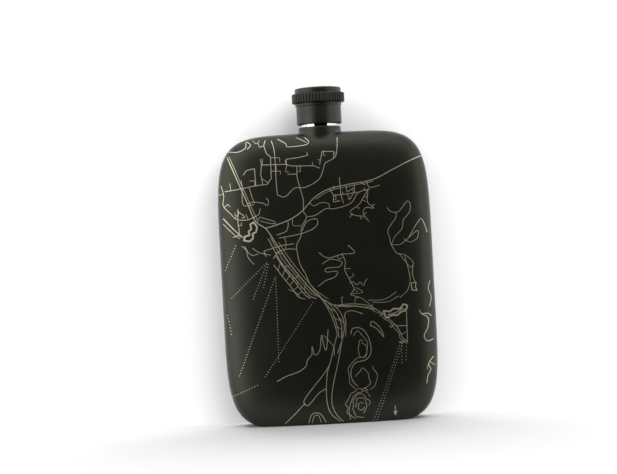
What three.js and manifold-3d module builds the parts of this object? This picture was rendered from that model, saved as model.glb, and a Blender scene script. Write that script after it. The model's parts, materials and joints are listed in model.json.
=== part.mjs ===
// A curved steel hip flask with a screw cap, standing upright on its base.
//
// Millimetres, +Z up along the neck, the convex front towards -Y. The origin is on the
// surface that the flask stands on, under the middle of its bounding box. The body is two
// drawn half shells that are welded round their rim, with a threaded neck let into a collar
// on top. The cap is a sleeve, a grip ring and a top disc over a plastic thread insert, with
// a loose sealing disc that the neck's lip presses against.

import * as THREE from 'three';
import { mergeVertices } from 'three/addons/utils/BufferGeometryUtils.js';
import Module from 'manifold-3d';

const wasm = await Module();
wasm.setup();

// Driving dimensions of the body, in millimetres.
const HALF_WIDTH = 47.5;
const HALF_HEIGHT = 65.4;
const MID_HEIGHT = 63.9; // height of the widest level; the outline's lowest 1.5 mm is flattened
const HALF_THICKNESS = 12;
const BOW = 4.5; // how far the side edges sit behind the middle, so that the back fits a hip
const WALL = 0.6;
const OUTLINE_POWER = 6; // squareness of the front outline's corners
const CROWN_POWER = 8; // how flat the faces stay before they turn towards the rim
const RIM_POWER = 5; // how square the turn into the rim is
const GAP = 0.3; // clearance between neighbouring pieces

// The neck's axis stands this far in front of the bounding box's middle.
const NECK_Y = -1.25;

// Collar and neck.
const COLLAR_TOP = 132;
const COLLAR_RADIUS = 9.4;
const COLLAR_FOOT_RADIUS = 10.2;
const COLLAR_FOOT_THICKNESS = 1;
const BAND_RADIUS = 8.4;
const BAND_TOP = 134;
const BAND_SEAT = 130.4;
const SHANK_RADIUS = 7.2;
const BORE_RADIUS = 6.25;
const NECK_BOTTOM = 124.5;
const LIP = 143;

// Screw thread: right-handed, one start.
const PITCH = 3;
const RIDGE_BASE = 1.5;
const RIDGE_CREST = 0.7;
const RIDGE_ROOT_OVERLAP = 0.25; // how deep a ridge is sunk into the wall that it stands on
const MALE_CREST_RADIUS = 8.15;
const FEMALE_ROOT_RADIUS = 8.45;
const FEMALE_CREST_RADIUS = 7.45;
const THREAD_START = 136.2;
const MALE_TURNS = 1.75;
const FEMALE_TURNS = 1.6;
const RUN_OUT_TURNS = 0.24; // length of the taper at each end of a ridge

// Cap.
const SKIRT_BOTTOM = 133.2;
const SKIRT_RADIUS = 10;
const LEDGE_RADIUS = 10.35;
const LEDGE_BOTTOM = 141.3;
const LEDGE_TOP = 142.5;
const SLEEVE_BORE = 9.2;
const SEAT_RADIUS = 9.75;
const SLEEVE_TOP = 147;
const RING_BOTTOM = 142.8;
const RING_TOP = 147;
const RING_TIP_RADIUS = 11.75;
const RING_ROOT_RADIUS = 11.25;
const RIB_COUNT = 50;
const DISC_BOTTOM = 147.3;
const DISC_EDGE_TOP = 149.2;
const CAP_TOP = 149.7;
const SPIGOT_BOTTOM = 145.3;
const INSERT_RADIUS = 8.9;
const INSERT_BOTTOM = 134.8;
const INSERT_TOP = 145;
const GASKET_BOTTOM = 143.15;
const GASKET_RADIUS = 8.15;

// Small chamfers, in millimetres.
const COLLAR_CHAMFER = 0.25;
const NECK_CHAMFER = 0.4;
const SKIRT_ROLL = 0.35;
const DISC_CHAMFER = 0.3;

// Facets.
const BODY_SEGMENTS = 48;
const RIM_RINGS = 9;
const SEAM_STEPS = 24;
const ROUND_SEGMENTS = 40;

// Half the size of a block that cuts away everything on its side of a face.
const CUTTER = 100;

const TURN = 2 * Math.PI;

// ---------------------------------------------------------------------------------------
// Finishes

const finishes = {
  coat: { color: 0x1c1c18, roughness: 0.55, metalness: 0.2 },
  coatRing: { color: 0x262624, roughness: 0.5, metalness: 0.3 },
  steel: { color: 0xc9c9c6, roughness: 0.15, metalness: 1 },
  liner: { color: 0x17171a, roughness: 0.6, metalness: 0 },
  silicone: { color: 0xe4e2da, roughness: 0.7, metalness: 0 },
};

function piece(name, finish, geometry) {
  const mesh = new THREE.Mesh(geometry, new THREE.MeshStandardMaterial(finishes[finish]));
  mesh.name = name;
  return mesh;
}

// ---------------------------------------------------------------------------------------
// Solids

// Turns a closed geometry into a solid that can be joined and cut.
function solid(geometry) {
  const bare = geometry.clone();
  bare.deleteAttribute('normal');
  bare.deleteAttribute('uv');
  const merged = mergeVertices(bare, 1e-5);
  return new wasm.Manifold(new wasm.Mesh({
    numProp: 3,
    vertProperties: new Float32Array(merged.attributes.position.array),
    triVerts: new Uint32Array(merged.index.array),
  }));
}

// Turns a solid back into a geometry.
function geometryOf(body) {
  const mesh = body.getMesh();
  const geometry = new THREE.BufferGeometry();
  geometry.setAttribute('position', new THREE.BufferAttribute(mesh.vertProperties, mesh.numProp));
  geometry.setIndex(new THREE.BufferAttribute(mesh.triVerts, 1));
  geometry.computeVertexNormals();
  return geometry;
}

// A round body about the vertical line x = 0, y = 0. Its profile is a list of [radius, z]
// that goes up the outside, and either closes on itself or starts and ends on the axis.
function turned(profile, segments = ROUND_SEGMENTS) {
  const points = profile.map(([radius, z]) => new THREE.Vector2(radius, z));
  const onAxis = profile[0][0] === 0;
  if (!onAxis) points.push(points[0].clone());
  const lathe = new THREE.LatheGeometry(points, segments);
  lathe.rotateX(Math.PI / 2);
  return lathe;
}

// A tube or disc with a plain rectangular section.
function ring(inner, outer, bottom, top, segments = ROUND_SEGMENTS) {
  return turned([[inner, bottom], [outer, bottom], [outer, top], [inner, top]], segments);
}

// ---------------------------------------------------------------------------------------
// Body

// Depth of the seam between the half shells, where they bow back towards the sides.
function seamY(x) {
  return NECK_Y + BOW * (x / HALF_WIDTH) ** 2;
}

// Share of the full half thickness at a level of the outline, from 0 in the middle to 1 on
// the rim.
function fullness(level) {
  return (1 - level ** CROWN_POWER) ** (1 / RIM_POWER);
}

// Levels of the pillow's rings, close together where the face turns into the rim.
function ringLevels() {
  const levels = [0, 0.25, 0.45];
  for (let k = 1; k < RIM_RINGS; k += 1) {
    levels.push(Math.sin((k / RIM_RINGS) * (TURN / 4)) ** (2 / CROWN_POWER));
  }
  return levels;
}

// The whole body's outer form, set in by a distance on every side. A lathed lens whose round
// section is reshaped to the flask's outline, bowed, and flattened at the base.
function pillow(inset) {
  const levels = ringLevels();
  const front = levels.map((level) => [level, -fullness(level)]);
  const back = levels.map((level) => [level, fullness(level)]).reverse();
  const profile = [...front, [1, 0], ...back];
  const lens = new THREE.LatheGeometry(profile.map(([r, y]) => new THREE.Vector2(r, y)), BODY_SEGMENTS);
  const position = lens.attributes.position;
  const squareness = 2 / OUTLINE_POWER;
  for (let k = 0; k < position.count; k += 1) {
    const across = position.getX(k);
    const up = position.getZ(k);
    const level = Math.hypot(across, up) || 1;
    const reach = (share) => Math.sign(share) * Math.abs(share / level) ** squareness * level;
    const x = (HALF_WIDTH - inset) * (Math.abs(across) < 1e-9 ? 0 : reach(across));
    const z = MID_HEIGHT + (HALF_HEIGHT - inset) * (Math.abs(up) < 1e-9 ? 0 : reach(up));
    const y = seamY(x) + (HALF_THICKNESS - inset) * position.getY(k);
    position.setXYZ(k, x, y, z);
  }
  const below = new THREE.BoxGeometry(2 * CUTTER, 2 * CUTTER, 2 * CUTTER);
  return solid(lens).subtract(solid(below.translate(0, 0, inset - CUTTER)));
}

// Everything in front of the seam, or behind it, with half of the gap left at the seam.
function sideOfSeam(side) {
  const reach = HALF_WIDTH + 5;
  const far = side * CUTTER;
  const shape = new THREE.Shape();
  shape.moveTo(-reach, far);
  for (let k = 0; k <= SEAM_STEPS; k += 1) {
    const x = -reach + (2 * reach * k) / SEAM_STEPS;
    shape.lineTo(x, seamY(x) + (side * GAP) / 2);
  }
  shape.lineTo(reach, far);
  shape.closePath();
  const block = new THREE.ExtrudeGeometry(shape, { depth: 2 * CUTTER, bevelEnabled: false });
  return solid(block.translate(0, 0, MID_HEIGHT - CUTTER));
}

// A plug on the neck's axis that reaches through the top of the body.
function neckPlug(radius, bottom, top) {
  const plug = turned([[0, bottom], [radius, bottom], [radius, top], [0, top]]);
  return solid(plug.translate(0, NECK_Y, 0));
}

function halfShell(side) {
  const hollow = pillow(0).subtract(pillow(WALL));
  const half = hollow.intersect(sideOfSeam(side));
  return half.subtract(neckPlug(SHANK_RADIUS + GAP, NECK_BOTTOM - 5, COLLAR_TOP));
}

// ---------------------------------------------------------------------------------------
// Collar and neck

// The collar's tube ends in a thin foot that lies along the saddle of the shoulder.
function neckCollar() {
  const inside = NECK_BOTTOM - 5; // well below the shoulder, where the body's form cuts it off
  const tube = solid(turned([
    [0, inside],
    [COLLAR_RADIUS, inside],
    [COLLAR_RADIUS, COLLAR_TOP - COLLAR_CHAMFER],
    [COLLAR_RADIUS - COLLAR_CHAMFER, COLLAR_TOP],
    [0, COLLAR_TOP],
  ]).translate(0, NECK_Y, 0));
  const foot = neckPlug(COLLAR_FOOT_RADIUS, inside, COLLAR_TOP)
    .intersect(pillow(-COLLAR_FOOT_THICKNESS));
  const shank = neckPlug(SHANK_RADIUS + GAP, inside - 1, COLLAR_TOP + 1);
  const band = neckPlug(BAND_RADIUS + GAP, BAND_SEAT, COLLAR_TOP + 1);
  return tube.add(foot).subtract(pillow(-GAP)).subtract(shank).subtract(band);
}

// A thread ridge: a straight bar with a trapezoid section, wound into a helix. It rises from
// the root radius to the crest radius, and fades into the wall at both ends.
function threadRidge(root, crest, start, startAngle, turns) {
  const leastRise = 0.05; // keeps the ends of the ridge from closing to an edge
  const steps = Math.round(turns * ROUND_SEGMENTS);
  const halfFacet = TURN / ROUND_SEGMENTS / 2; // keeps the ridge's edges off the wall's edges
  const outward = Math.sign(crest - root);
  const sunk = root - outward * RIDGE_ROOT_OVERLAP;
  const section = new THREE.Shape();
  section.moveTo(0, -RIDGE_BASE / 2);
  section.lineTo(1, -RIDGE_CREST / 2);
  section.lineTo(1, RIDGE_CREST / 2);
  section.lineTo(0, RIDGE_BASE / 2);
  section.closePath();
  const bar = new THREE.ExtrudeGeometry(section, { depth: 1, steps, bevelEnabled: false });
  const position = bar.attributes.position;
  for (let k = 0; k < position.count; k += 1) {
    const along = position.getZ(k);
    const fromEnd = Math.min(along, 1 - along) * turns;
    const rise = Math.min(1, leastRise + fromEnd / RUN_OUT_TURNS);
    const radius = sunk + (crest - sunk) * position.getX(k) * rise;
    const angle = startAngle + halfFacet + along * turns * TURN;
    const z = start + along * turns * PITCH + position.getY(k);
    position.setXYZ(k, radius * Math.cos(angle), radius * Math.sin(angle), z);
  }
  if (outward > 0) flip(bar);
  return solid(bar);
}

// Turns a geometry's faces over.
function flip(geometry) {
  const position = geometry.attributes.position;
  const corner = (k) => [position.getX(k), position.getY(k), position.getZ(k)];
  for (let k = 0; k < position.count; k += 3) {
    const second = corner(k + 1);
    const third = corner(k + 2);
    position.setXYZ(k + 1, ...third);
    position.setXYZ(k + 2, ...second);
  }
}

function neck() {
  const chamfer = NECK_CHAMFER;
  const spout = solid(turned([
    [BORE_RADIUS, NECK_BOTTOM],
    [SHANK_RADIUS, NECK_BOTTOM],
    [SHANK_RADIUS, BAND_SEAT + GAP],
    [BAND_RADIUS, BAND_SEAT + GAP],
    [BAND_RADIUS, BAND_TOP],
    [SHANK_RADIUS, BAND_TOP + chamfer],
    [SHANK_RADIUS, LIP - chamfer],
    [SHANK_RADIUS - chamfer / 2, LIP],
    [BORE_RADIUS + chamfer / 2, LIP],
    [BORE_RADIUS, LIP - chamfer],
  ]));
  return spout.add(threadRidge(SHANK_RADIUS, MALE_CREST_RADIUS, THREAD_START, 0, MALE_TURNS));
}

// ---------------------------------------------------------------------------------------
// Cap

function capSleeve() {
  const ledgeSlope = 0.2;
  return turned([
    [SLEEVE_BORE, SKIRT_BOTTOM],
    [SKIRT_RADIUS - SKIRT_ROLL, SKIRT_BOTTOM],
    [SKIRT_RADIUS, SKIRT_BOTTOM + SKIRT_ROLL],
    [SKIRT_RADIUS, LEDGE_BOTTOM],
    [LEDGE_RADIUS, LEDGE_BOTTOM + ledgeSlope],
    [LEDGE_RADIUS, LEDGE_TOP],
    [SEAT_RADIUS, LEDGE_TOP],
    [SEAT_RADIUS, SLEEVE_TOP],
    [SLEEVE_BORE, SLEEVE_TOP],
  ]);
}

// A ring with a ribbed edge. Each rib is a flat tip with sloping sides, and a flat root lies
// between it and the next. A corner is its share of the way to the next rib, and its radius.
function gripRing() {
  const outline = new THREE.Shape();
  const corners = [
    [0, RING_ROOT_RADIUS],
    [0.3, RING_ROOT_RADIUS],
    [0.45, RING_TIP_RADIUS],
    [0.85, RING_TIP_RADIUS],
  ];
  for (let rib = 0; rib < RIB_COUNT; rib += 1) {
    for (const [share, radius] of corners) {
      const angle = ((rib + share) / RIB_COUNT) * TURN;
      const point = [radius * Math.cos(angle), radius * Math.sin(angle)];
      if (rib === 0 && share === 0) outline.moveTo(...point);
      else outline.lineTo(...point);
    }
  }
  outline.closePath();
  const bore = new THREE.Path();
  bore.absarc(0, 0, SEAT_RADIUS + GAP, 0, TURN, true);
  outline.holes.push(bore);
  const depth = RING_TOP - RING_BOTTOM;
  const curveSegments = ROUND_SEGMENTS / 2;
  const body = new THREE.ExtrudeGeometry(outline, { depth, bevelEnabled: false, curveSegments });
  return body.translate(0, 0, RING_BOTTOM);
}

// A low crowned disc over a spigot that sits in the sleeve.
function capTop() {
  const crown = [LEDGE_RADIUS * 0.55, CAP_TOP - 0.1];
  return turned([
    [0, SPIGOT_BOTTOM],
    [SLEEVE_BORE - GAP, SPIGOT_BOTTOM],
    [SLEEVE_BORE - GAP, DISC_BOTTOM],
    [LEDGE_RADIUS, DISC_BOTTOM],
    [LEDGE_RADIUS, DISC_EDGE_TOP - DISC_CHAMFER],
    [LEDGE_RADIUS - DISC_CHAMFER, DISC_EDGE_TOP],
    crown,
    [0, CAP_TOP],
  ]);
}

function threadInsert() {
  const tube = solid(ring(FEMALE_ROOT_RADIUS, INSERT_RADIUS, INSERT_BOTTOM, INSERT_TOP));
  const halfTurn = TURN / 2;
  const ridge = threadRidge(
    FEMALE_ROOT_RADIUS, FEMALE_CREST_RADIUS, THREAD_START, halfTurn, FEMALE_TURNS,
  );
  return tube.add(ridge);
}

// The sealing disc has a raised land that meets the neck's lip.
function capGasket() {
  const relief = 0.3;
  return turned([
    [0, GASKET_BOTTOM + relief],
    [BORE_RADIUS - 2 * relief, GASKET_BOTTOM + relief],
    [BORE_RADIUS - relief, GASKET_BOTTOM],
    [GASKET_RADIUS, GASKET_BOTTOM],
    [GASKET_RADIUS, INSERT_TOP],
    [0, INSERT_TOP],
  ]);
}

// ---------------------------------------------------------------------------------------
// Assembly

const flask = new THREE.Group();
flask.name = 'hip_flask';

const vessel = new THREE.Group();
vessel.add(piece('front_shell', 'coat', geometryOf(halfShell(-1))));
vessel.add(piece('back_shell', 'coat', geometryOf(halfShell(1))));
vessel.add(piece('neck_collar', 'coat', geometryOf(neckCollar())));
flask.add(vessel);

// The neck and the cap share one axis, in front of the bounding box's middle.
const spout = new THREE.Group();
spout.position.set(0, NECK_Y, 0);
spout.add(piece('neck', 'steel', geometryOf(neck())));
flask.add(spout);

const cap = new THREE.Group();
cap.position.copy(spout.position);
cap.add(piece('cap_sleeve', 'coat', capSleeve()));
cap.add(piece('grip_ring', 'coatRing', gripRing()));
cap.add(piece('cap_top', 'coatRing', capTop()));
cap.add(piece('thread_insert', 'liner', geometryOf(threadInsert())));
cap.add(piece('cap_gasket', 'silicone', capGasket()));
flask.add(cap);

export default flask;
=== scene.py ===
"""A curved black hip flask with an engraved street map and a ribbed screw cap.

Lengths are in millimetres, in the same frame as the model that the script is built around:
+Z up along the neck, the convex engraved front towards -Y, the base on z = 0. They become
metres when a mesh, a material, a light or a modifier is made.
"""

import json
import logging
import math
import random
from bisect import bisect_left
from dataclasses import dataclass, field
from enum import Enum
from functools import cached_property
from typing import Any, Iterable, Sequence

import bmesh
import bpy
from bpy.types import NodeSocket, Object
from mathutils import Matrix, Vector


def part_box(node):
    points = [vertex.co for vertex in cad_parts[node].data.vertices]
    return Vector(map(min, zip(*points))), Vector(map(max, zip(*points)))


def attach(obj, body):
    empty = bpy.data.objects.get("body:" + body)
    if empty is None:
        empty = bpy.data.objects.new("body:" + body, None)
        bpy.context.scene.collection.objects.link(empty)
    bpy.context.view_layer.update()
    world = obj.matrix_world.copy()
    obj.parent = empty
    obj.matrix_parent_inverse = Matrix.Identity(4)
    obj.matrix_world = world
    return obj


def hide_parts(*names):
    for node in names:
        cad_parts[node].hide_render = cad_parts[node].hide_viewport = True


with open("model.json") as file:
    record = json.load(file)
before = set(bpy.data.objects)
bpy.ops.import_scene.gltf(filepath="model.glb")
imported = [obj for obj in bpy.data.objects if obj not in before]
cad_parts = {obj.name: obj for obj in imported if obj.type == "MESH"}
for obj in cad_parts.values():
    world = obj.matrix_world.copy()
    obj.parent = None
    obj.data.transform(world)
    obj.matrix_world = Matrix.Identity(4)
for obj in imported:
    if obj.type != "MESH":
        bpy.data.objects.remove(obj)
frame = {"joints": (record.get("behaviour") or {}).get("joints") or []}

LOG = logging.getLogger("hip_flask")
MM = 0.001
TURN = 2 * math.pi
CREASE = 38.0  # the angle in degrees past which an edge stays sharp
MERGE = 0.0005  # vertices nearer to each other than this become one
COLLAPSE = 0.0002  # edges shorter than this are taken out
POLE_RADIUS = 1e-6  # a turned section's point nearer to its axis than this is a pole

Place = tuple[float, float, float]
Spot = tuple[float, float]
Colour = tuple[float, float, float]
Path = tuple[Spot, ...]
Sockets = dict[str | int, Any]


class Part(Enum):
    """The bodies that a piece can ride on."""

    FLASK = "flask"
    SEAL = "seal"
    CAP = "cap"


class Slot(Enum):
    """The record's material slots."""

    COAT = "coat"
    CAP_COAT = "cap_coat"
    STEEL = "bare_steel"
    LINER = "liner"
    SILICONE = "silicone"


class Side(Enum):
    """The two half shells, by the way that they face along Y."""

    FRONT = -1
    BACK = 1


# ----------------------------------------------------------------------------------------
# Node trees


class Graph:
    """A node tree that is filled in by code."""

    def __init__(self, tree: bpy.types.NodeTree) -> None:
        """Starts with an empty tree.

        Args:
            tree: The shader or geometry tree to fill.
        """
        self.tree = tree
        self.tree.nodes.clear()

    def add(self, kind: str, sockets: Sockets | None = None, **settings: Any) -> bpy.types.Node:
        """Adds a node and fills its inputs.

        Args:
            kind: The node's class name.
            sockets: Input names or numbers, each with a value or a socket to link from.
            settings: The node's own properties.

        Returns:
            The new node.
        """
        node = self.tree.nodes.new(kind)
        for key, value in settings.items():
            setattr(node, key, value)
        for key, value in (sockets or {}).items():
            socket = node.inputs[key]
            if isinstance(value, NodeSocket):
                self.tree.links.new(value, socket)
            else:
                socket.default_value = value
        return node

    def out(self, kind: str, sockets: Sockets | None = None, **settings: Any) -> NodeSocket:
        """Adds a node and gives its first output."""
        return self.add(kind, sockets, **settings).outputs[0]

    def math(self, operation: str, first: Any, second: Any = 0.0) -> NodeSocket:
        """Does one sum on two numbers, either of which may be a socket."""
        return self.out("ShaderNodeMath", {0: first, 1: second}, operation=operation)


class ShapeGraph(Graph):
    """A geometry-nodes tree with named inputs, which ends in a plain set of faces."""

    def __init__(self, name: str, values: dict[str, Any]) -> None:
        """Args:
            name: The tree's name.
            values: Each named input's value, unless a run changes it, which also says its type.
        """
        super().__init__(bpy.data.node_groups.new(name, "GeometryNodeTree"))
        face = self.tree.interface
        face.new_socket(name="Geometry", in_out="INPUT", socket_type="NodeSocketGeometry")
        self.values = values
        self.keys: dict[str, str] = {}
        for label, value in values.items():
            kind = f"NodeSocket{type(value).__name__.title()}"
            self.keys[label] = face.new_socket(name=label, in_out="INPUT", socket_type=kind).identifier
        face.new_socket(name="Geometry", in_out="OUTPUT", socket_type="NodeSocketGeometry")
        self.given = self.add("NodeGroupInput").outputs

    def triple(self, x: Any, y: Any, z: Any) -> NodeSocket:
        """Joins three numbers, any of which may be a socket, into a vector."""
        return self.out("ShaderNodeCombineXYZ", {0: x, 1: y, 2: z})

    def shape_of(self, label: str) -> NodeSocket:
        """Gives the geometry of the object in a named input."""
        return self.add("GeometryNodeObjectInfo", {"Object": self.given[label]}).outputs["Geometry"]

    def even(self, curve: NodeSocket) -> NodeSocket:
        """Puts points on a curve at the tree's spacing."""
        sockets = {"Curve": curve, "Length": self.given["Spacing"]}
        return self.out("GeometryNodeResampleCurve", sockets, mode="LENGTH")

    def sweep(self, path: NodeSocket, size: NodeSocket, profile: NodeSocket, capped: bool) -> NodeSocket:
        """Sweeps a profile along a path.

        Args:
            path: The curve to follow.
            size: The profile's size at each point of the path.
            profile: The curve to sweep.
            capped: Whether the ends are closed.

        Returns:
            The faces.
        """
        sockets = {
            "Curve": self.out("GeometryNodeSetCurveRadius", {"Curve": path, "Radius": size}),
            "Profile Curve": profile,
            "Scale": self.out("GeometryNodeInputRadius"),
            "Fill Caps": capped,
        }
        return self.out("GeometryNodeCurveToMesh", sockets)

    def close(self, geometry: NodeSocket, smooth: bool) -> None:
        """Ends the tree: real faces, smooth or flat, in the given material.

        Args:
            geometry: What the tree has made.
            smooth: Whether the faces are shaded smooth.
        """
        real = self.out("GeometryNodeRealizeInstances", {0: geometry})
        shaded = self.out("GeometryNodeSetShadeSmooth", {"Geometry": real, "Shade Smooth": smooth})
        sockets = {"Geometry": shaded, "Material": self.given["Material"]}
        self.add("NodeGroupOutput", {0: self.out("GeometryNodeSetMaterial", sockets)})

    def make(self, source: Object, changes: dict[str, Any] | None = None) -> None:
        """Runs the tree on an object and leaves the result as its plain mesh.

        Args:
            source: The object to run on, which keeps the result.
            changes: The inputs that differ in this run.
        """
        modifier = source.modifiers.new(self.tree.name, "NODES")
        modifier.node_group = self.tree
        for label, value in (self.values | (changes or {})).items():
            modifier[self.keys[label]] = value
        bake(source)


class FinishGraph(Graph):
    """A material's tree, whose patterns lie on the piece's own coordinates."""

    @cached_property
    def place(self) -> NodeSocket:
        """Gives the piece's own coordinates, in metres."""
        return self.add("ShaderNodeTexCoord").outputs["Object"]

    def cloud(self, size: float, detail: float = 2.0) -> NodeSocket:
        """Makes a noise pattern with blobs of a size in millimetres and some finer layers."""
        sockets = {"Vector": self.place, "Scale": 1 / (size * MM), "Detail": detail, "Roughness": 0.55}
        return self.out("ShaderNodeTexNoise", sockets)

    def spread(self, value: NodeSocket, low: float, high: float) -> NodeSocket:
        """Maps a noise value, which lies between about 0.3 and 0.7, on to a range."""
        return self.out("ShaderNodeMapRange", {0: value, 1: 0.3, 2: 0.7, 3: low, 4: high})

    def blend(self, share: NodeSocket, first: Colour, second: Colour) -> NodeSocket:
        """Mixes two colours by a share from 0 to 1."""
        sockets = {0: share, 6: (*first, 1), 7: (*second, 1)}
        return self.add("ShaderNodeMix", sockets, data_type="RGBA").outputs[2]

    def relief(self, height: NodeSocket, depth: float) -> NodeSocket:
        """Turns a height from 0 to 1 into a bump of a depth in millimetres."""
        return self.out("ShaderNodeBump", {"Height": height, "Distance": depth * MM, "Strength": 1.0})

    def surface(self, sockets: Sockets) -> None:
        """Ends the tree in a Principled surface with these inputs."""
        self.add("ShaderNodeOutputMaterial", {0: self.out("ShaderNodeBsdfPrincipled", sockets)})


def bake(obj: Object) -> None:
    """Turns an object's modifiers into its plain mesh and removes them.

    Args:
        obj: The object, which keeps the mesh.
    """
    evaluated = obj.evaluated_get(bpy.context.evaluated_depsgraph_get())
    mesh = bpy.data.meshes.new_from_object(evaluated)
    mesh.name = obj.name
    obj.modifiers.clear()
    obj.data = mesh


# ----------------------------------------------------------------------------------------
# Finishes, with scene-linear colours and with sizes and depths in millimetres


@dataclass(frozen=True)
class Finish:
    """A finish of one piece or more."""

    name: str

    def material(self) -> bpy.types.Material:
        """Gives the finish's material, made once.

        Returns:
            The material.
        """
        made = bpy.data.materials.get(self.name)
        if made is None:
            made = bpy.data.materials.new(self.name)
            made.use_nodes = True
            self.fill(FinishGraph(made.node_tree))
        return made

    def fill(self, graph: FinishGraph) -> None:
        """Builds the finish's nodes; each kind of finish has its own."""
        raise NotImplementedError


@dataclass(frozen=True)
class PieceFinish(Finish):
    """A finish of the flask's own pieces, which goes by one of the record's slots."""

    slot: Slot


@dataclass(frozen=True)
class PowderCoat(PieceFinish):
    """A matte baked powder coat: a fine orange peel with slight shifts of tone and sheen."""

    dark: Colour
    light: Colour
    smooth: float
    rough: float
    tone_size: float = 22.0
    handling_size: float = 9.0
    speck_size: float = 0.16
    speck: float = 0.18
    grain_size: float = 0.34
    grain_share: float = 0.55
    peel_size: float = 1.1
    peel_depth: float = 0.007

    def fill(self, graph: FinishGraph) -> None:
        """Builds the coat's nodes.

        Args:
            graph: The material's tree.
        """
        tone = graph.spread(graph.cloud(self.tone_size, 4.0), 0.0, 1.0)
        speck = graph.spread(graph.cloud(self.speck_size, 1.0), -self.speck, self.speck)
        handling = graph.cloud(self.handling_size, 5.0)
        grain = graph.math("MULTIPLY", graph.cloud(self.grain_size, 3.0), self.grain_share)
        peel = graph.math("MULTIPLY", graph.cloud(self.peel_size), 1 - self.grain_share)
        graph.surface(
            {
                "Base Color": graph.blend(graph.math("ADD", tone, speck), self.dark, self.light),
                "Roughness": graph.spread(handling, self.smooth, self.rough),
                "Normal": graph.relief(graph.math("ADD", grain, peel), self.peel_depth),
                "Specular IOR Level": 0.5,
                "Specular Tint": (1.0, 1.0, 0.86, 1.0),
            }
        )


@dataclass(frozen=True)
class EngravedSteel(PieceFinish):
    """Steel bared by engraving through the coat: warm, with a fine frosted grain."""

    tint: Colour
    heat: Colour
    tone_size: float = 3.5
    frost_size: float = 0.12
    frost_depth: float = 0.006

    def fill(self, graph: FinishGraph) -> None:
        """Builds the engraving's nodes.

        Args:
            graph: The material's tree.
        """
        tone = graph.spread(graph.cloud(self.tone_size, 3.0), 0.0, 1.0)
        frost = graph.cloud(self.frost_size)
        graph.surface(
            {
                "Base Color": graph.blend(tone, self.tint, self.heat),
                "Metallic": 1.0,
                "Roughness": graph.spread(frost, 0.44, 0.6),
                "Normal": graph.relief(frost, self.frost_depth),
            }
        )


@dataclass(frozen=True)
class TurnedSteel(PieceFinish):
    """Polished steel with the faint rings that a lathe leaves."""

    tint: Colour
    polish: float
    ring_pitch: float = 0.12
    ring_depth: float = 0.0015
    smear_size: float = 3.0

    def fill(self, graph: FinishGraph) -> None:
        """Builds the steel's nodes.

        Args:
            graph: The material's tree.
        """
        height = graph.add("ShaderNodeSeparateXYZ", {0: graph.place}).outputs["Z"]
        sockets = {"W": height, "Scale": 1 / (self.ring_pitch * MM), "Detail": 2.0}
        rings = graph.out("ShaderNodeTexNoise", sockets, noise_dimensions="1D")
        smear = graph.cloud(self.smear_size, 3.0)
        worn = tuple(0.93 * c for c in self.tint)
        graph.surface(
            {
                "Base Color": graph.blend(smear, self.tint, worn),
                "Metallic": 1.0,
                "Roughness": graph.spread(smear, self.polish, self.polish + 0.08),
                "Normal": graph.relief(rings, self.ring_depth),
            }
        )


@dataclass(frozen=True)
class Moulding(PieceFinish):
    """A moulded plastic or rubber with a fine texture."""

    shade: Colour
    rough: float
    glow: float
    glow_depth: float = 1.5
    tone_size: float = 5.0
    grain_size: float = 0.2
    grain_depth: float = 0.01

    def fill(self, graph: FinishGraph) -> None:
        """Builds the moulding's nodes.

        Args:
            graph: The material's tree.
        """
        grain = graph.cloud(self.grain_size)
        darker = tuple(0.8 * c for c in self.shade)
        graph.surface(
            {
                "Base Color": graph.blend(graph.cloud(self.tone_size, 3.0), self.shade, darker),
                "Roughness": graph.spread(grain, self.rough - 0.06, self.rough + 0.06),
                "Subsurface Weight": self.glow,
                "Subsurface Scale": self.glow_depth * MM,
                "Normal": graph.relief(grain, self.grain_depth),
            }
        )


@dataclass(frozen=True)
class Backdrop(Finish):
    """Plain pale card, seen from its front only, and not mirrored by what nearly touches it."""

    shade: float
    touch: float = 0.0

    def fill(self, graph: FinishGraph) -> None:
        """Builds the card's nodes.

        Args:
            graph: The material's tree.
        """
        behind = graph.add("ShaderNodeNewGeometry").outputs["Backfacing"]
        ray = graph.add("ShaderNodeLightPath").outputs
        close = graph.math("LESS_THAN", ray["Ray Length"], self.touch * MM)
        mirrored = graph.math("MULTIPLY", close, ray["Is Glossy Ray"])
        card = graph.out("ShaderNodeBsdfDiffuse", {"Color": (self.shade, self.shade, self.shade, 1)})
        clear = graph.out("ShaderNodeBsdfTransparent")
        unseen = graph.math("MAXIMUM", behind, mirrored)
        sheet = graph.out("ShaderNodeMixShader", {0: unseen, 1: card, 2: clear})
        graph.add("ShaderNodeOutputMaterial", {0: sheet})


BODY_COAT = PowderCoat(
    "powder_coat_black", Slot.COAT, (0.0032, 0.0031, 0.0018), (0.0044, 0.0043, 0.0028), 0.34, 0.40
)
CAP_COAT = PowderCoat(
    "powder_coat_charcoal", Slot.CAP_COAT, (0.0040, 0.0040, 0.0030), (0.0054, 0.0054, 0.0042), 0.36, 0.43
)
ENGRAVED = EngravedSteel("engraved_steel", Slot.STEEL, tint=(0.71, 0.685, 0.525), heat=(0.63, 0.59, 0.42))
POLISHED = TurnedSteel("polished_steel", Slot.STEEL, tint=(0.8, 0.79, 0.77), polish=0.05)
LINER = Moulding("liner_plastic", Slot.LINER, shade=(0.012, 0.012, 0.014), rough=0.5, glow=0.0)
SEALING = Moulding("sealing_silicone", Slot.SILICONE, shade=(0.74, 0.72, 0.66), rough=0.55, glow=0.25)
FLOOR_CARD = Backdrop("floor_card", shade=0.4)
WALL_CARD = Backdrop("wall_card", shade=0.95, touch=6.0)


# ----------------------------------------------------------------------------------------
# Mesh making


def place_object(name: str, data: bpy.types.ID) -> Object:
    """Puts a new object with this data in the scene.

    Args:
        name: The object's name.
        data: Its mesh, lamp or camera.

    Returns:
        The new object.
    """
    obj = bpy.data.objects.new(name, data)
    bpy.context.scene.collection.objects.link(obj)
    return obj


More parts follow.
